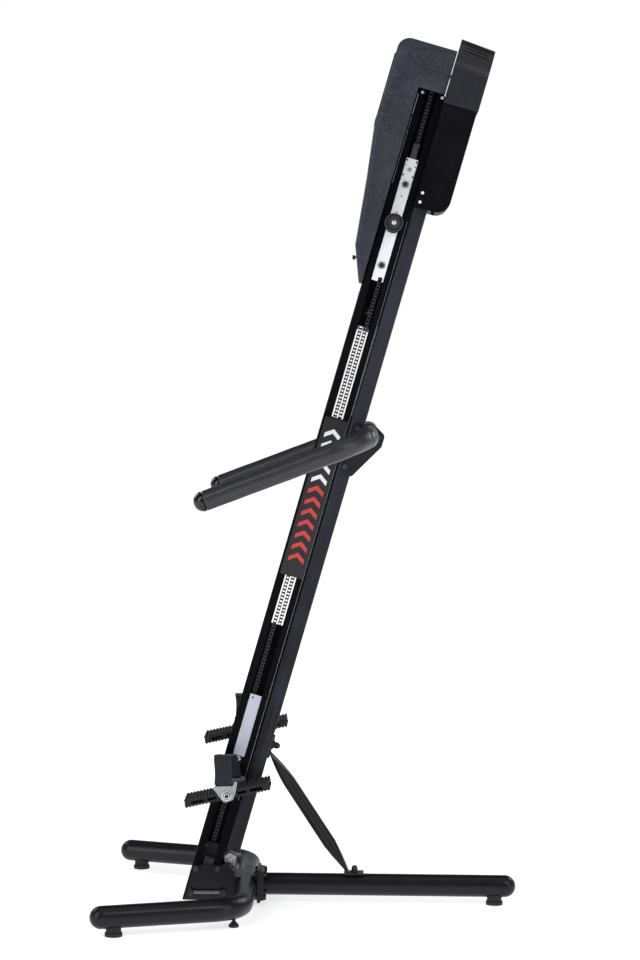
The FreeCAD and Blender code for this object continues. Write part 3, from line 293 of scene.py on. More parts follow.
def nylon():
    look = Look("nylon", (0.80, 0.81, 0.82), 0.45, Subsurface_Weight=0.1, Subsurface_Scale=0.002)
    look.tint(look.noise(0.015, detail=5), (0.70, 0.70, 0.70), 0.5, 0.8, 0.6)
    look.gloss(look.noise(0.006, detail=3), 0.38, 0.55)
    look.relief(look.noise(0.001, detail=2), 0.00004)
    return look.material


def webbing():
    look = Look("webbing", (0.0095, 0.0100, 0.0160), 0.80, Sheen_Weight=0.2, Sheen_Roughness=0.45,
                Specular_IOR_Level=0.3)
    look.tint(look.noise(0.0012, (1, 1, 0.4), 2), (0.026, 0.027, 0.037), 0.45, 0.7, 0.8)
    look.tint(look.noise(0.03, detail=4), (0.016, 0.017, 0.024), 0.45, 0.75)
    look.relief(look.noise(0.0006, detail=2), 0.00012)
    return look.material


def printed(name, colour, roughness=0.35):
    """Screen-printed film, slightly uneven."""
    look = Look(name, colour, roughness)
    look.tint(look.noise(0.012, detail=5), tuple(c * 0.86 for c in colour), 0.45, 0.8)
    look.gloss(look.noise(0.02, detail=3), roughness - 0.06, roughness + 0.08)
    look.relief(look.noise(0.0009, detail=2), 0.00002)
    return look.material


def lens_glass():
    look = Look("lens_glass", (0.006, 0.008, 0.009), 0.06, Coat_Weight=0.8, Coat_Roughness=0.03)
    look.tint(look.noise(0.03, detail=3), (0.010, 0.013, 0.014))
    look.gloss(look.noise(0.015, detail=5), 0.05, 0.14, 0.5, 0.8)
    return look.material


M = {
    "powder": powder_coat(),
    "rail": extrusion("rail_black", (0.0024, 0.0024, 0.0040), 0.33, 0.035),
    # the beam's last colour is painted shade towards the mast foot
    "beam": extrusion("beam_black", (0.0190, 0.0196, 0.0280), 0.34, 0.16, (0.0035, 0.0035, 0.0055)),
    "housing": housing_plastic(),
    "gloss": shroud_gloss(),
    "cover": cover_plastic(),
    "plug": plug_plastic(),
    "film": printed("cover_film", (0.0028, 0.0028, 0.0042), 0.45),
    "rubber": rubber(),
    "foam": foam(),
    "aluminium": satin_aluminium("satin_aluminium", (0.84, 0.85, 0.89)),
    # darker copy of the satin aluminium for the foot sliders: painted shade
    "shaded_aluminium": satin_aluminium("satin_aluminium_shaded", (0.50, 0.52, 0.60)),
    "zinc": metal("zinc_plate", (0.36, 0.37, 0.40), 0.40),
    "steel": metal("turned_steel", (0.60, 0.60, 0.62), 0.26),
    "screw": metal("bright_screw", (0.92, 0.92, 0.94), 0.25, metallic=0.3),
    "chain": metal("chain_steel", (0.075, 0.075, 0.084), 0.36),
    # dark film used as painted shade in holes, sockets and grooves
    "painted_shade": printed("painted_shade_dark", (0.0030, 0.0030, 0.0036), 0.6),
    "bolt": black_steel(),
    "nylon": nylon(),
    "webbing": webbing(),
    "thread": printed("thread", (0.055, 0.057, 0.066), 0.7),
    "white": printed("print_white", (0.72, 0.72, 0.72)),
    "red": printed("print_red", (0.52, 0.035, 0.03)),
    "panel": printed("panel_film", (0.017, 0.018, 0.021), 0.3),
    "key": printed("key_grey", (0.14, 0.145, 0.15), 0.4),
    "lens": lens_glass(),
}

NODE_LOOKS = {
    "powder": ["base_front_tube", "base_rear_tube", "base_end_caps", "brace_strut", "mast_foot_bracket",
               "handrail_brackets", "handrail_tube", "right_pedal", "left_pedal"],
    "rail": ["mast_rail"],
    "beam": ["mast_rear_beam"],
    "housing": ["console_housing"],
    "gloss": ["rear_shroud"],
    "cover": ["rear_lower_cover"],
    "film": ["side_covers"],
    "plug": ["handrail_end_plugs"],
    "rubber": ["rubber_feet", "lower_bumpers", "console_knob", "right_levelling_foot",
               "left_levelling_foot", "right_pedal_treads", "left_pedal_treads"],
    "aluminium": ["right_hand_slider", "left_hand_slider"],
    "shaded_aluminium": ["right_foot_slider", "left_foot_slider"],
    "zinc": ["right_strap_plates", "left_strap_plates", "brake_rotor"],
    "steel": ["drive_shaft", "mast_latch"],
    "screw": ["cover_screws"],
    "chain": ["top_sprocket", "bottom_sprocket"],
    "bolt": ["brace_bolts", "frame_bolts", "drive_bearings", "brake_magnets", "right_hand_bolts",
             "left_hand_bolts", "right_pedal_arm", "left_pedal_arm", "right_hand_handle", "left_hand_handle"],
    "nylon": ["right_hand_shoes", "left_hand_shoes", "right_foot_shoes", "left_foot_shoes"],
    "panel": ["console_face"],
    "lens": ["display_lens"],
}


def paint_nodes():
    for look, nodes in NODE_LOOKS.items():
        for node in nodes:
            data = frame["nodes"][node].data
            data.materials.clear()
            data.materials.append(M[look])


# ---------------------------------------------------------------- mesh helpers
def add_piece(name, vertices, faces, look, body, sharp_deg=35.0):
    """A new mesh piece in the row frame, riding on a body."""
    mesh = bpy.data.meshes.new(name)
    mesh.from_pydata([tuple(v) for v in vertices], [], faces)
    mesh.validate()
    mesh.update()
    mesh.shade_smooth()
    mesh.set_sharp_from_angle(angle=math.radians(sharp_deg))
    mesh.materials.append(M[look])
    piece = bpy.data.objects.new(name, mesh)
    bpy.context.scene.collection.objects.link(piece)
    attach(piece, body)
    return piece


class Parts:
    """Vertices and faces of several closed shapes gathered into one mesh."""

    def __init__(self):
        self.vertices = []
        self.faces = []

    def add(self, vertices, faces):
        start = len(self.vertices)
        self.vertices += vertices
        self.faces += [[start + i for i in face] for face in faces]


def prism(outline, offset):
    """Closed plate: an outline of points, and the same outline moved by an offset."""
    count = len(outline)
    vertices = [Vector(p) for p in outline] + [Vector(p) + Vector(offset) for p in outline]
    faces = [list(range(count))[::-1], list(range(count, 2 * count))]
    faces += [[i, (i + 1) % count, count + (i + 1) % count, count + i] for i in range(count)]
    return vertices, faces


def lathe(profile, centre, axis, segments=48):
    """A turned shape: (radius, distance along the axis) points, from one end on the axis to the other."""
    axis = Vector(axis).normalized()
    side = axis.orthogonal().normalized()
    other = axis.cross(side)
    vertices = []
    rows = []
    for radius, along in profile:
        base = Vector(centre) + axis * along
        if radius < 1e-7:
            rows.append([len(vertices)] * segments)
            vertices.append(base)
            continue
        rows.append(list(range(len(vertices), len(vertices) + segments)))
        for k in range(segments):
            turn = 2 * math.pi * k / segments
            vertices.append(base + (side * math.cos(turn) + other * math.sin(turn)) * radius)
    faces = []
    for low, high in zip(rows, rows[1:]):
        for k in range(segments):
            n = (k + 1) % segments
            corners = [low[k], low[n], high[n], high[k]]
            face = [c for i, c in enumerate(corners) if c not in corners[:i]]
            if len(face) > 2:
                faces.append(face)
    return vertices, faces


def swept_band(path, sections):
    """A closed skin over a row of cross-sections; each section is a ring of offsets from its path point."""
    count = len(sections[0])
    vertices = [p + offset for p, section in zip(path, sections) for offset in section]
    faces = []
    for row in range(len(path) - 1):
        for k in range(count):
            n = (k + 1) % count
            a, b = row * count, (row + 1) * count
            faces.append([a + k, a + n, b + n, b + k])
    last = (len(path) - 1) * count
    faces.append(list(range(count))[::-1])
    faces.append([last + k for k in range(count)])
    return vertices, faces


def rounded_path(points, radius, step):
    """Points every `step` along straight runs joined by arcs of the given radius."""
    points = [Vector(p) for p in points]
    out = [points[0]]

    def run_to(end):
        start = out[-1]
        count = max(1, round((end - start).length / step))
        out.extend(start.lerp(end, i / count) for i in range(1, count + 1))

    for before, corner, after in zip(points, points[1:], points[2:]):
        back, ahead = (before - corner).normalized(), (after - corner).normalized()
        half = back.angle(ahead) / 2
        trim = radius / math.tan(half)
        centre = corner + (back + ahead).normalized() * radius / math.sin(half)
        entry, leave = corner + back * trim, corner + ahead * trim
        run_to(entry)
        turn = math.pi - 2 * half
        count = max(4, round(radius * turn / step))
        u = (entry - centre).normalized()
        v = (leave - centre - u * (leave - centre).dot(u)).normalized()
        out.extend(centre + (u * math.cos(turn * i / count) + v * math.sin(turn * i / count)) * radius
                   for i in range(1, count + 1))
    run_to(points[-1])
    return out


# ---------------------------------------------------------------- roller chains
PITCH = 0.009525
TEETH = 11
ROLLER_R = 0.00254
ROLLER_HALF = 0.0023
PIN_R = 0.0016
PIN_HALF = 0.0053
PLATE_R = 0.0042
PLATE_WAIST = 0.0031
PLATE_THICK = 0.00115
INNER_PLATE = 0.0024
OUTER_PLATE = 0.0037
SPROCKET_R = PITCH / 2 / math.sin(math.pi / TEETH)
COVER_TO_CROSSING = 0.033     # from a cover's end to the place where the chain starts to cross
HALF_WIDE = 0.0045            # half width of a chain across its plates


ARC_POINTS = 9
ARC_START = 30                # degrees past the side of the pin
ARC_STEP = 15


def plate_outline(x):
    """Waisted plate between two pins at z = 0 and z = PITCH."""
    points = []
    for centre, start in ((0.0, 180), (PITCH, 0)):
        for k in range(ARC_POINTS):
            turn = math.radians(start + ARC_START + ARC_STEP * k)
            points.append((x, PLATE_R * math.cos(turn), centre + PLATE_R * math.sin(turn)))
        side = 1 if start == 180 else -1
        points.append((x, side * PLATE_WAIST, PITCH / 2))
    return points


def barrel(radius, half, z, segments):
    """A roller or a pin, centred at height z."""
    turns = [2 * math.pi * k / segments for k in range(segments)]
    ring = [(-half, radius * math.cos(turn), z + radius * math.sin(turn)) for turn in turns]
    return prism(ring, (2 * half, 0, 0))


def chain_link(inner):
    """One link along z from a pin at the origin, with its plates, and its rollers or its pins."""
    link = Parts()
    offset = INNER_PLATE if inner else OUTER_PLATE
    for x in (offset, -offset - PLATE_THICK):
        link.add(*prism(plate_outline(x), (PLATE_THICK, 0, 0)))
    for z in (0.0, PITCH):
        link.add(*(barrel(ROLLER_R, ROLLER_HALF, z, 12) if inner else barrel(PIN_R, PIN_HALF, z, 8)))
    return link


LINKS = (chain_link(True), chain_link(False))


def chain_piece(name, pins, x):
    """Links from pin to pin; pins are (y, z) in mast coordinates, and x is the chain's middle plane."""
    chain = Parts()
    for i, (pin, nxt) in enumerate(zip(pins, pins[1:])):
        along = Vector((0, nxt[0] - pin[0], nxt[1] - pin[1])).normalized()
        turn = Matrix((Vector((1, 0, 0)), Vector((0, along.z, -along.y)), along)).transposed()
        start = Vector((x, *pin))
        link = LINKS[i % 2]
        chain.add([MAST @ (start + turn @ v) for v in link.vertices], link.faces)
    return add_piece(name, chain.vertices, chain.faces, "chain", "frame")


def loop_pins(centre, end):
    """Pins up one strand, round the sprocket and down the other strand."""
    way = 1 if centre > end else -1
    count = int(abs(centre - end) / PITCH)
    pins = [(-SPROCKET_R, centre - way * (count - i) * PITCH) for i in range(count)]
    for k in range(TEETH // 2 + 1):
        turn = 2 * math.pi * k / TEETH
        pins.append((-SPROCKET_R * math.cos(turn), centre + way * SPROCKET_R * math.sin(turn)))
    pins += [(SPROCKET_R, centre - way * (i + 0.5) * PITCH) for i in range(count)]
    return pins


def crossing_pins(stations):
    """Pins a pitch apart along a bent line of (y, z) stations."""
    pins = []
    left_over = 0.0
    for a, b in zip(stations, stations[1:]):
        a, b = Vector(a), Vector(b)
        run = (b - a).length
        at = left_over
        while at <= run:
            pins.append(tuple(a.lerp(b, at / run)))
            at += PITCH
        left_over = at - run
    return pins


def build_chains():
    top_end = span("top_chain")[0].z
    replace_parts(chain_piece("top_roller_chain", loop_pins(0.0, top_end), 0.0), "top_chain")
    bottom_end = span("bottom_chain")[1].z
    idler = (TO_MAST @ Vector(joints["idler_spin"]["pos_m"])).z
    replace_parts(chain_piece("bottom_roller_chain", loop_pins(idler, bottom_end), 0.0), "bottom_chain")
    cover_low, cover_high = span("side_covers")
    for node, upper_side in (("front_cross_chain", 1), ("rear_cross_chain", -1)):
        low, high = span(node)
        y = upper_side * (high.y - HALF_WIDE)
        stations = [(y, high.z), (y, cover_high.z - COVER_TO_CROSSING),
                    (-y, cover_low.z + COVER_TO_CROSSING), (-y, low.z)]
        piece = chain_piece(node.replace("cross_chain", "cross_roller_chain"), crossing_pins(stations),
                            (low.x + high.x) / 2)
        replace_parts(piece, node)


# ---------------------------------------------------------------- hand grips
GRIP_R = 0.0170
GRIP_VALLEY_R = GRIP_R - 0.0003
GRIP_FLANGE_R = 0.0250
GRIP_RIDGE = 0.0011
GRIP_RIDGE_PITCH = 0.0056
GRIP_RIBBED = (0.0095, 0.0110)     # plain length at the inner and outer end
# (radius, distance from the inner end)
GRIP_COLLAR = [(0.0, 0.0), (0.0215, 0.0), (0.0230, 0.0012), (0.0230, 0.0048), (0.0205, 0.0064),
               (GRIP_VALLEY_R, 0.0078)]
# (share of the pitch, share of the height)
GRIP_RIDGE_SHAPE = ((0.0, 0.0), (0.18, 0.0), (0.30, 0.75), (0.42, 1.0), (0.68, 1.0), (0.80, 0.75),
                    (0.92, 0.0))
# (radius, distance from the outer end)
GRIP_END = ((GRIP_VALLEY_R, 0.0110), (0.0190, 0.0098), (0.0236, 0.0082), (GRIP_FLANGE_R, 0.0064),
            (GRIP_FLANGE_R, 0.0026), (0.0242, 0.0008), (0.0228, 0.0), (0.0185, 0.0), (0.0176, 0.0012),
            (0.0, 0.0012))
DOME_R = 0.0062
DOME_RISE = 0.0022
DOME_BASE = 0.0006
DOME_SUNK = 0.0010


def build_grips():
    for name, side in SIDES:
        low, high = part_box(f"{name}_hand_grip")
        centre = (low + high) / 2
        inner = Vector((centre.x, side * min(abs(low.y), abs(high.y)), centre.z))
        length = high.y - low.y
        start, end = GRIP_RIBBED[0], length - GRIP_RIBBED[1]
        ridges = int((end - start) / GRIP_RIDGE_PITCH)
        step = (end - start) / ridges
        profile = list(GRIP_COLLAR)
        for i in range(ridges):
            at = start + i * step
            profile += [(GRIP_R - GRIP_RIDGE * (1 - lift), at + share * step)
                        for share, lift in GRIP_RIDGE_SHAPE]
        profile += [(radius, length - from_end) for radius, from_end in GRIP_END]
        vertices, faces = lathe(profile, inner, (0, side, 0), 56)
        grip = add_piece(f"{name}_ribbed_grip", vertices, faces, "rubber", f"{name}_hand", 50)
        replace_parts(grip, f"{name}_hand_grip")

        # domed screw in the handle's end cap
        low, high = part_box(f"{name}_hand_handle")
        end_y = side * max(abs(low.y), abs(high.y))
        dome = [(0.0, -DOME_SUNK), (DOME_R, -DOME_SUNK), (DOME_R, DOME_BASE)]
        dome += [(DOME_R * math.cos(math.radians(a)), DOME_BASE + DOME_RISE * math.sin(math.radians(a)))
                 for a in range(15, 90, 15)]
        dome.append((0.0, DOME_BASE + DOME_RISE))
        vertices, faces = lathe(dome, (centre.x, end_y, centre.z), (0, side, 0), 32)
        add_piece(f"{name}_handle_screw", vertices, faces, "steel", f"{name}_hand")


# ---------------------------------------------------------------- handrail foam
RAIL_TUBE_R = 0.016
HANDRAIL_SLOPE = math.radians(21.0)
FOAM_START = 0.062            # half the bare length of tube behind the mast
FOAM_BEND = 0.110
FOAM_STEP = 0.004
FOAM_SEGMENTS = 40
FOAM_INSET = 0.0003           # keeps ripples inside the CAD skin
FOAM_END_ROUND = 0.004
FOAM_FULL_BEND = 0.0008       # offset of a bent path from its chord, where creases are deepest
FOAM_CREASE = 0.0011
FOAM_CREASE_PITCH = 0.017
FOAM_RIPPLE = 0.00025


def foam_path(side):
    """The tube's middle line from behind the mast, round the bend, to the arm's end."""
    low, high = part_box("handrail_tube")
    cross_x, cross_z = high.x - RAIL_TUBE_R, high.z - RAIL_TUBE_R
    end_x = low.x + RAIL_TUBE_R * math.sin(HANDRAIL_SLOPE)
    end_z = cross_z - (cross_x - end_x) * math.tan(HANDRAIL_SLOPE)
    y = side * (high.y - RAIL_TUBE_R)
    corners = [(cross_x, side * FOAM_START, cross_z), (cross_x, y, cross_z), (end_x, y, end_z)]
    return rounded_path(corners, FOAM_BEND, FOAM_STEP)


def build_foam():
    foam_r = RAIL_TUBE_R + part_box("handrail_foam")[1].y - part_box("handrail_tube")[1].y
    sleeves = Parts()
    for _, side in SIDES:
        path = foam_path(side)
        count = len(path)
        length = sum((b - a).length for a, b in zip(path, path[1:]))
        sections = []
        travelled = 0.0
        for i, point in enumerate(path):
            ahead = (path[min(i + 1, count - 1)] - path[max(i - 1, 0)]).normalized()
            if i:
                travelled += (point - path[i - 1]).length
            from_end = min(travelled, length - travelled)
            before, after = path[max(i - 4, 0)], path[min(i + 4, count - 1)]
            bend = (before + after) / 2 - point
            bent = min(1.0, bend.length / FOAM_FULL_BEND)
            inside = bend.normalized() if bend.length > 1e-6 else Vector((0, 0, 1))
            up = ahead.cross(ACROSS if abs(ahead.y) < 0.9 else Vector((0, 0, 1))).normalized()
            other = ahead.cross(up)
            short = max(0.0, FOAM_END_ROUND - from_end)
            shrink = FOAM_END_ROUND - math.sqrt(FOAM_END_ROUND ** 2 - short ** 2)
            wave = 0.5 - 0.5 * math.cos(travelled * 2 * math.pi / FOAM_CREASE_PITCH)
            ring = []
            for k in range(FOAM_SEGMENTS):
                turn = 2 * math.pi * k / FOAM_SEGMENTS
                out = up * math.cos(turn) + other * math.sin(turn)
                facing = max(0.0, out.dot(inside))
                crease = bent * facing ** 2 * FOAM_CREASE * wave
                ripple = math.sin(travelled * 61 + 2 * math.sin(turn)) * math.sin(turn * 2 + travelled * 23)
                ring.append(out * (foam_r - FOAM_INSET - shrink - crease + FOAM_RIPPLE * ripple))
            sections.append(ring)
        sleeves.add(*swept_band(path, sections))
    piece = add_piece("handrail_foam_sleeves", sleeves.vertices, sleeves.faces, "foam", "frame",
                      60)
    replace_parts(piece, "handrail_foam")


# ---------------------------------------------------------------- toe straps
STRAP_WIDTH = 0.047
STRAP_THICK = 0.0024
STRAP_ROOM = 0.0030           # thickness of the CAD loop
STRAP_SKEW = math.radians(9.5)
STRAP_MIDDLE = -0.0105        # the outer strand's middle, in front of the pedal's axle
STRAP_TOPS = {"right": (0.111, 0.092), "left": (0.092, 0.104)}   # outer and inner corner, above the axle
STRAP_CORNER = 0.0125
WEAVE = 0.0021
RIB_RISE, RIB_DIP = 0.00022, 0.00012
SKIN_INSET = 0.0002
SIDE_INSET = 0.0006           # off the whole width
SELVEDGE_WIDTH, SELVEDGE_RISE = 0.0032, 0.00030
EDGE_WIDTH, EDGE_TAPER = 0.0004, 0.0006
BOW = 0.0016                  # how far the webbing wanders to the front and rear


def strap_line(name, side):
    """The webbing's middle line from the outer plate over the foot to the inner plate."""
    low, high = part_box(f"{name}_toe_strap")
    pivot = Vector(joints[f"{name}_pedal_tilt"]["pos_m"])
    outer = max(abs(low.y), abs(high.y)) - STRAP_ROOM / 2
    inner = min(abs(low.y), abs(high.y)) + STRAP_ROOM / 2
    turn = (outer - inner) * math.tan(STRAP_SKEW)
    half = STRAP_ROOM / 2
    outer_top, inner_top = STRAP_TOPS[name]
    front = pivot.x + STRAP_MIDDLE
    top_x, foot_x = front + 0.30 * turn, front + turn
    corners = [(front, side * outer, low.z), (front, side * outer, pivot.z + outer_top - half),
               (top_x, side * inner, pivot.z + inner_top - half), (foot_x, side * inner, low.z)]
    return rounded_path(corners, STRAP_CORNER, WEAVE / 2)


def build_straps():
    for name, side in SIDES:
        line = strap_line(name, side)
        length = sum((b - a).length for a, b in zip(line, line[1:]))
        half = STRAP_THICK / 2
        columns = round(STRAP_WIDTH / (WEAVE / 2))       # half a weave cell each
        sections = []
        travelled = 0.0
        for i, point in enumerate(line):
            before, after = line[max(i - 1, 0)], line[min(i + 1, len(line) - 1)]
            travelled += (point - before).length if i else 0.0
            out = Vector((1, 0, 0)).cross(after - before).normalized()
            bow = BOW * math.sin(5 * math.pi * travelled / length)
            ring = []
            for face in (1, -1):
                for k in range(columns + 1):
                    share = k / columns
                    edge = min(share, 1 - share) * STRAP_WIDTH
                    rib = RIB_RISE if (i // 2 + k // 2) % 2 else -RIB_DIP
                    selvedge = SELVEDGE_RISE if edge < SELVEDGE_WIDTH else 0.0
                    taper = -EDGE_TAPER if edge < EDGE_WIDTH else 0.0
                    across = (share - 0.5) * (STRAP_WIDTH - SIDE_INSET) * face
                    lift = half - SKIN_INSET + rib + selvedge + taper
                    ring.append(Vector((across + bow, 0, 0)) + out * face * lift)
            sections.append(ring)
        vertices, faces = swept_band(line, sections)
        strap = add_piece(f"{name}_toe_webbing", vertices, faces, "webbing", f"{name}_pedal_body",
                          80)
        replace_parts(strap, f"{name}_toe_strap")
        stitches = strap_stitches(line)
        thread = add_piece(f"{name}_strap_stitching", stitches.vertices, stitches.faces, "thread",
                           f"{name}_pedal_body", 60)


STITCH_LENGTH = 0.0026
STITCH_PITCH = 0.0040
STITCH_HALF_WIDE = 0.00042
STITCH_SUNK = 0.0003
STITCH_ARCH = ((-0.5, 0.0), (-0.3, 0.0007), (0.3, 0.0007), (0.5, 0.0))   # share of the length, rise
STITCH_ROW_X = 0.0190
STITCH_START = 0.006
BOX_ENDS = (0.004, 0.024)     # the sewn box, from the strap's end
BOX_HALF_WIDE = 0.0180
BOX_ROW = [-0.0165 + 0.0036 * k for k in range(10)]


def add_stitch(stitches, centre, along, out):
    """One low arched stitch standing on the webbing."""
    wide = along.cross(out).normalized() * STITCH_HALF_WIDE
    rows = [centre + along * STITCH_LENGTH * share for share, _ in STITCH_ARCH]
    sections = [[-wide - out * STITCH_SUNK, -wide * 0.6 + out * lift, wide * 0.6 + out * lift,
                 wide - out * STITCH_SUNK] for _, lift in STITCH_ARCH]
    stitches.add(*swept_band(rows, sections))


def strap_stitches(line):
    """Two long rows near the edges, and a boxed cross where each end is sewn to its plate."""
    stitches = Parts()
    travelled = 0.0
    wanted = STITCH_START
    length = sum((b - a).length for a, b in zip(line, line[1:]))
    for a, b in zip(line, line[1:]):
        travelled += (b - a).length
        if travelled < wanted:
            continue
        wanted += STITCH_PITCH
        along = (b - a).normalized()
        out = Vector((1, 0, 0)).cross(along).normalized()
        for face in (1, -1):
            surface = b + out * face * (STRAP_THICK / 2 + 0.00025)
            lengthwise = [-STITCH_ROW_X, STITCH_ROW_X]
            from_end = min(travelled, length - travelled)
            if from_end < BOX_ENDS[1]:
                share = (from_end - BOX_ENDS[0]) / (BOX_ENDS[1] - BOX_ENDS[0]) - 0.5
                lengthwise += [-2 * BOX_HALF_WIDE * share, 2 * BOX_HALF_WIDE * share]
            for x in lengthwise:
                add_stitch(stitches, surface + Vector((x, 0, 0)), along, out * face)
            if any(abs(from_end - end) < 0.0021 for end in BOX_ENDS):
                for x in BOX_ROW:
                    add_stitch(stitches, surface + Vector((x, 0, 0)), Vector((1, 0, 0)), out * face)
    return stitches


# ---------------------------------------------------------------- printed graphics and console details
BAR_COUNT = 12
WHITE_BARS = 5
BAR_MARGINS = (0.030, 0.034)       # bare film above and below the ladder
BAR_HALF_WIDE = 0.0215
BAR_DROP = 0.0105                  # lower edge at the sides, below the bar's own height
BAR_PEAK = 0.0105 * 0.45           # lower edge in the middle, above it
BAR_THICK = 0.0125
BAR_PROUD = 0.00025


def build_cover_graphic():
    """A plain climbing-chevron ladder on each side cover: white above, red below."""
    low, high = span("side_covers")
    for name, side in SIDES:
        y = side * high.y
        white, red = Parts(), Parts()
        mid_x = (low.x + high.x) / 2
        top, bottom = high.z - BAR_MARGINS[0], low.z + BAR_MARGINS[1]
        step = (top - bottom) / BAR_COUNT
        for i in range(BAR_COUNT):
            z = top - (i + 0.5) * step
            lower = [(mid_x - BAR_HALF_WIDE, y, z - BAR_DROP), (mid_x, y, z + BAR_PEAK),
                     (mid_x + BAR_HALF_WIDE, y, z - BAR_DROP)]
            upper = [(x, y, height + BAR_THICK) for x, _, height in lower[::-1]]
            vertices, faces = prism(lower + upper, (0, side * BAR_PROUD, 0))
            (white if i < WHITE_BARS else red).add([MAST @ v for v in vertices], faces)
        add_piece(f"{name}_white_chevrons", white.vertices, white.faces, "white", "frame")
        add_piece(f"{name}_red_chevrons", red.vertices, red.faces, "red", "frame")


SEAM_DROP = 0.259             # the joint between the two mouldings, below the housing's top
SEAM_ENDS = (0.015, -0.0385)  # start behind the housing's front, and end in mast depth
SEAM_HALF = 0.0011
ELLIPSE_DROP = 0.041
ELLIPSE_RIMS = ((0.1247, 0.0307), (0.1222, 0.0282))     # half length and half height
LINE_PROUD = 0.0002


def build_housing_lines():
    """Dark shadow lines in the joint between the two mouldings and in the half-ellipse groove."""
    low, high = span("console_housing")
    start, end, seam_z = low.x + SEAM_ENDS[0], SEAM_ENDS[1], high.z - SEAM_DROP
    seam = [(start, seam_z - SEAM_HALF), (end, seam_z - SEAM_HALF), (end, seam_z + SEAM_HALF),
            (start, seam_z + SEAM_HALF)]
    rims = [[(high.x - 0.001 - long_half * math.cos(math.radians(a)),
              high.z - ELLIPSE_DROP + high_half * math.sin(math.radians(a))) for a in range(-88, 89, 4)]
            for long_half, high_half in ELLIPSE_RIMS]
    lines = Parts()
    for side in (-1, 1):
        for outline in (seam, rims[0] + rims[1][::-1]):
            face = [(x, side * high.y, z) for x, z in outline]
            vertices, faces = prism(face, (0, side * LINE_PROUD, 0))
            lines.add([MAST @ v for v in vertices], faces)
    add_piece("housing_shadow_lines", lines.vertices, lines.faces, "painted_shade", "frame")


KEY_PITCH = 0.026
KEY_PROFILE = [(0.0, -0.0006), (0.0085, -0.0006), (0.0085, 0.0004), (0.0078, 0.0010), (0.0050, 0.0014),
               (0.0, 0.0016)]


def build_console_keys():
    """Four plain domed keys under the display."""
    low = span("console_face")[0]
    z = (low.z + span("display_lens")[0].z) / 2
    keys = Parts()
    for k in range(4):
        centre = MAST @ Vector((low.x, (k - 1.5) * KEY_PITCH, z))
        keys.add(*lathe(KEY_PROFILE, centre, -MAST_BACK, 32))
    add_piece("console_keys", keys.vertices, keys.faces, "key", "frame")


# ---------------------------------------------------------------- small hardware
def washer(parts, centre, axis, outer, inner, height):
    """A flat ring with a softened rim, standing `height` off its seat."""
    profile = [(inner, 0.0), (outer, 0.0), (outer, height * 0.6), (outer - height * 0.4, height),
               (inner, height), (inner, 0.0)]
    parts.add(*lathe(profile, centre, axis, 40))


def disc(parts, centre, axis, radius, height):
    """A low round spot, let in a little below its seat."""
    profile = [(0.0, -height), (radius, -height), (radius, height * 0.5), (radius * 0.85, height),
               (0.0, height)]
    parts.add(*lathe(profile, centre, axis, 24))


HAND_BOLTS_UP = (0.044, -0.011)    # from the bar's lower end, and from its upper end
WASHER_LIFT = 0.0014               # the washers' seat, above the bar's face
BOLT_SOCKET_LIFT = 0.0081
BAR_HOLES_UP = (0.192, 0.237)
BLOCK_HOLES = ((0.006, 0.0026), (0.020, 0.0018), (0.047, 0.0026))     # drop from the block's top, radius
BLOCK_HOLE_X = 0.0131
BLOCK_SPOT_DROP = 0.030
FOOT_RING = (0.0165, -0.0085)      # from the foot bar's front lower corner


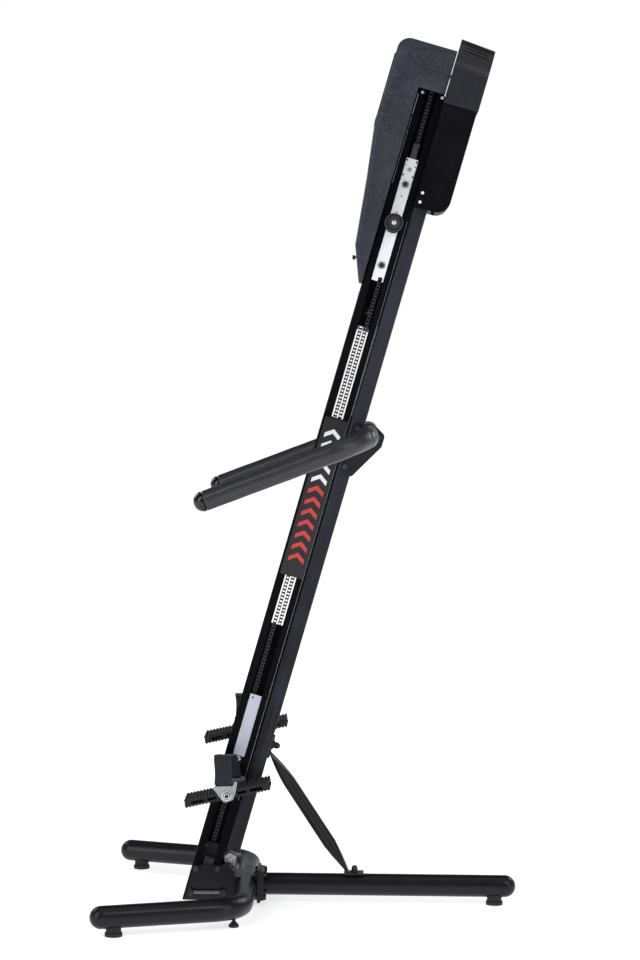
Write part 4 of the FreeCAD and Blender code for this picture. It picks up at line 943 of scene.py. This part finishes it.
def build_slider_hardware():
    """Washers under the slider bolts, and dark discs of painted shade for the holes in the bar and its white
    top block and for the bolts' sockets.
    """
    for name, side in SIDES:
        out = Vector((0, side, 0))
        bar_low, bar_high = span(f"{name}_hand_slider")
        face = max(abs(bar_low.y), abs(bar_high.y))
        mid = (bar_low.x + bar_high.x) / 2
        washers, hole_shades, spots = Parts(), Parts(), Parts()
        for up in (bar_low.z + HAND_BOLTS_UP[0], bar_high.z + HAND_BOLTS_UP[1]):
            seat, socket = side * (face + WASHER_LIFT), side * (face + BOLT_SOCKET_LIFT)
            washer(washers, MAST @ Vector((mid, seat, up)), out, 0.0098, 0.0064, 0.0009)
            # dark ring: painted shade in the bolt's socket
            washer(hole_shades, MAST @ Vector((mid, socket, up)), out, 0.0036, 0.0010, 0.0003)
        # dark discs: painted shade standing for the holes in the bar
        for up in BAR_HOLES_UP:
            disc(hole_shades, MAST @ Vector((mid - 0.001, side * face, bar_low.z + up)), out, 0.0021, 0.00025)
        block_top = span(f"{name}_hand_shoes")[1].z
        # dark discs: painted shade standing for the notches at the block's edges
        for drop, radius in BLOCK_HOLES:
            for edge in (-BLOCK_HOLE_X, BLOCK_HOLE_X):
                place = MAST @ Vector((mid + edge, side * face, block_top - drop))
                disc(hole_shades, place, out, radius, 0.00025)
        place = MAST @ Vector((mid, side * face, block_top - BLOCK_SPOT_DROP))
        disc(spots, place, out, 0.0062, 0.0006)
        hand = f"{name}_hand"
        add_piece(f"{name}_bolt_washers", washers.vertices, washers.faces, "zinc", hand)
        add_piece(f"{name}_slider_hole_shades", hole_shades.vertices, hole_shades.faces, "painted_shade", hand)
        add_piece(f"{name}_block_spot", spots.vertices, spots.faces, "zinc", hand)

        # the ring below the foot bar, and the two on the pedal's axle
        foot_low = span(f"{name}_foot_slider")[0]
        rings = Parts()
        ring_at = Vector((foot_low.x + FOOT_RING[0], side * (face - 0.0004), foot_low.z + FOOT_RING[1]))
        washer(rings, MAST @ ring_at, out, 0.0072, 0.0026, 0.0012)
        low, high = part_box(f"{name}_pedal_arm")
        pivot = Vector(joints[f"{name}_pedal_tilt"]["pos_m"])
        end = max(abs(low.y), abs(high.y))
        washer(rings, Vector((pivot.x, side * (end - 0.0056), pivot.z)), out, 0.0132, 0.0098, 0.0008)
        washer(rings, Vector((pivot.x, side * (end - 0.0001), pivot.z)), out, 0.0078, 0.0050, 0.0006)
        add_piece(f"{name}_foot_washers", rings.vertices, rings.faces, "steel", f"{name}_foot")


STRIP_PROUD = 0.0004


def strip(parts, x, y, z0, z1, width):
    """A thin raised line along the mast on its side face at y."""
    outline = [(x, y, z0), (x + width, y, z0), (x + width, y, z1), (x, y, z1)]
    vertices, faces = prism(outline, (0, math.copysign(STRIP_PROUD, y), 0))
    parts.add([MAST @ v for v in vertices], faces)


def build_painted_edge_highlights():
    """Painted highlights: thin bright strips along the rail's rear corner and along its front corner beside
    the console.
    """
    low, high = span("mast_rail")
    cover_top = span("side_covers")[1].z
    seam, front = Parts(), Parts()
    for side in (-1, 1):
        y = side * high.y
        # painted highlights where the rail's rear fillet catches light
        strip(seam, high.x - 0.0056, y, low.z + 0.30, high.z - 0.35, 0.0007)
        strip(seam, high.x - 0.0036, y, cover_top + 0.02, cover_top + 0.27, 0.0009)
        # painted highlights along the rail's front corner beside the console
        strip(front, low.x + 0.0034, y, high.z - 0.26, high.z - 0.075, 0.0006)
        strip(front, low.x + 0.0030, y, high.z - 0.070, high.z - 0.012, 0.0014)
    add_piece("rail_seam_highlights", seam.vertices, seam.faces, "zinc", "frame")
    add_piece("rail_front_highlights", front.vertices, front.faces, "steel", "frame")


ADJUSTER_BEHIND = -0.23       # frame_bolts' points in front of this x belong to the adjuster
ADJUSTER_Y, ADJUSTER_Z = -0.061, 0.038
ADJUSTER_HEAD = 0.0105
THREAD_PITCH = 0.0015
THREAD_TURNS = 48
THREAD_R = (0.0046, 0.0053)


def build_adjuster_thread():
    """The long bolt across the mast foot has a bright rolled thread."""
    xs = [v.co.x for v in frame["nodes"]["frame_bolts"].data.vertices]
    start = min(x for x in xs if x < ADJUSTER_BEHIND) + ADJUSTER_HEAD
    profile = [(0.0, 0.0)]
    for k in range(THREAD_TURNS):
        profile += [(THREAD_R[0], THREAD_PITCH * k), (THREAD_R[1], THREAD_PITCH * (k + 0.5))]
    profile.append((0.0, THREAD_PITCH * THREAD_TURNS))
    vertices, faces = lathe(profile, (start, ADJUSTER_Y, ADJUSTER_Z), (1, 0, 0), 20)
    add_piece("adjuster_thread", vertices, faces, "zinc", "frame", 80)


# ---------------------------------------------------------------- studio
# place, target, size and watts of each soft box
SOFTBOXES = {
    "overhead_softbox": ((0.0, -0.4, 4.6), (0, 0, 1.0), (3.0, 3.0), 22),
    "front_left_top_softbox": ((-2.7, -3.9, 4.6), (0, 0, 0.9), (2.2, 1.4), 62),
    "front_right_top_softbox": ((2.4, -3.4, 4.3), (0, 0, 0.9), (1.8, 1.4), 48),
    "left_softbox": ((-4.2, -3.6, 2.6), (0, 0, 1.1), (2.0, 3.4), 80),
    "right_softbox": ((4.4, -3.0, 2.4), (0, 0, 1.1), (1.6, 3.4), 50),
    "rear_right_softbox": ((3.9, 3.2, 3.6), (0, 0, 0.4), (2.4, 2.4), 75),
    "rear_left_softbox": ((-3.9, 3.2, 3.6), (0, 0, 0.4), (2.4, 2.4), 60),
}
FLOOR_REACH = 30.0
FLOOR_GLOW = (0.62, 1.0)      # under the machine, and far off
FLOOR_FADE = (0.8, 2.4)       # between these distances
ROOM_COLOUR = (0.90, 0.94, 1.0, 1)
ROOM_GLOW = (0.50, 0.05)      # near the horizon, and overhead
ROOM_FADE = (0.08, 0.55)      # between these heights of the direction


def area_light(name, place, target, size, energy):
    data = bpy.data.lights.new(name, "AREA")
    data.shape = "RECTANGLE"
    data.size, data.size_y = size
    data.energy = energy
    light = bpy.data.objects.new(name, data)
    light.location = place
    light.rotation_mode = "QUATERNION"
    light.rotation_quaternion = (Vector(target) - Vector(place)).to_track_quat("-Z", "Y")
    bpy.context.scene.collection.objects.link(light)


def floor():
    mesh = bpy.data.meshes.new("floor")
    corners = [(x * FLOOR_REACH, y * FLOOR_REACH, 0) for x, y in ((-1, -1), (1, -1), (1, 1), (-1, 1))]
    mesh.from_pydata(corners, [], [(0, 1, 2, 3)])
    look = Look("studio_floor", (0.90, 0.90, 0.90), 0.6)
    look.shader.inputs["Emission Color"].default_value = (1, 1, 1, 1)
    distance = look.nodes.new("ShaderNodeVectorMath")
    distance.operation = "LENGTH"
    look.links.new(look.place, distance.inputs[0])
    glow = look.ranged(distance.outputs["Value"], *FLOOR_GLOW, *FLOOR_FADE)
    look.links.new(glow, look.shader.inputs["Emission Strength"])
    mesh.materials.append(look.material)
    plane = bpy.data.objects.new("floor", mesh)
    bpy.context.scene.collection.objects.link(plane)


def room():
    """White to the camera, and dim overhead to everything else, so that black paint stays black."""
    world = bpy.data.worlds.new("studio")
    bpy.context.scene.world = world
    world.use_nodes = True
    nodes, links = world.node_tree.nodes, world.node_tree.links
    nodes.clear()
    output = nodes.new("ShaderNodeOutputWorld")
    white = nodes.new("ShaderNodeBackground")
    dim = nodes.new("ShaderNodeBackground")
    mix = nodes.new("ShaderNodeMixShader")
    path = nodes.new("ShaderNodeLightPath")
    direction = nodes.new("ShaderNodeTexCoord")
    parts = nodes.new("ShaderNodeSeparateXYZ")
    level = nodes.new("ShaderNodeMapRange")
    level.inputs["From Min"].default_value, level.inputs["From Max"].default_value = ROOM_FADE
    level.inputs["To Min"].default_value, level.inputs["To Max"].default_value = ROOM_GLOW
    white.inputs["Strength"].default_value = 1.0
    white.inputs["Color"].default_value = (1, 1, 1, 1)
    dim.inputs["Color"].default_value = ROOM_COLOUR
    links.new(direction.outputs["Generated"], parts.inputs["Vector"])
    links.new(parts.outputs["Z"], level.inputs["Value"])
    links.new(level.outputs["Result"], dim.inputs["Strength"])
    links.new(path.outputs["Is Camera Ray"], mix.inputs["Fac"])
    links.new(dim.outputs["Background"], mix.inputs[1])
    links.new(white.outputs["Background"], mix.inputs[2])
    links.new(mix.outputs["Shader"], output.inputs["Surface"])


def studio():
    floor()
    for name, (place, target, size, watts) in SOFTBOXES.items():
        area_light(name, place, target, size, watts)
    room()
    bpy.context.scene.view_settings.view_transform = "Standard"


CAMERA_AT = (0.131, -6.851, 1.559)
CAMERA_TURN = (-0.95, -3.29, -0.45)     # yaw, pitch and roll in degrees
LENS_MM = 94.3


def camera():
    """Camera square to the machine's right side, looking slightly down."""
    yaw, pitch, roll = (math.radians(a) for a in CAMERA_TURN)
    forward = Vector((math.sin(yaw) * math.cos(pitch), math.cos(yaw) * math.cos(pitch), math.sin(pitch)))
    level_right = Vector((math.cos(yaw), -math.sin(yaw), 0))
    level_up = level_right.cross(forward)
    right = level_right * math.cos(roll) - level_up * math.sin(roll)
    up = level_right * math.sin(roll) + level_up * math.cos(roll)
    data = bpy.data.cameras.new("camera")
    data.sensor_width = 36.0
    data.lens = LENS_MM
    data.clip_end = 200.0
    cam = bpy.data.objects.new("camera", data)
    cam.matrix_world = Matrix.Translation(CAMERA_AT) @ Matrix((right, up, -forward)).transposed().to_4x4()
    bpy.context.scene.collection.objects.link(cam)
    bpy.context.scene.camera = cam


camera()
studio()
paint_nodes()
build_chains()
build_grips()
build_foam()
build_straps()
build_cover_graphic()
build_console_keys()
build_housing_lines()
build_slider_hardware()
build_painted_edge_highlights()
build_adjuster_thread()
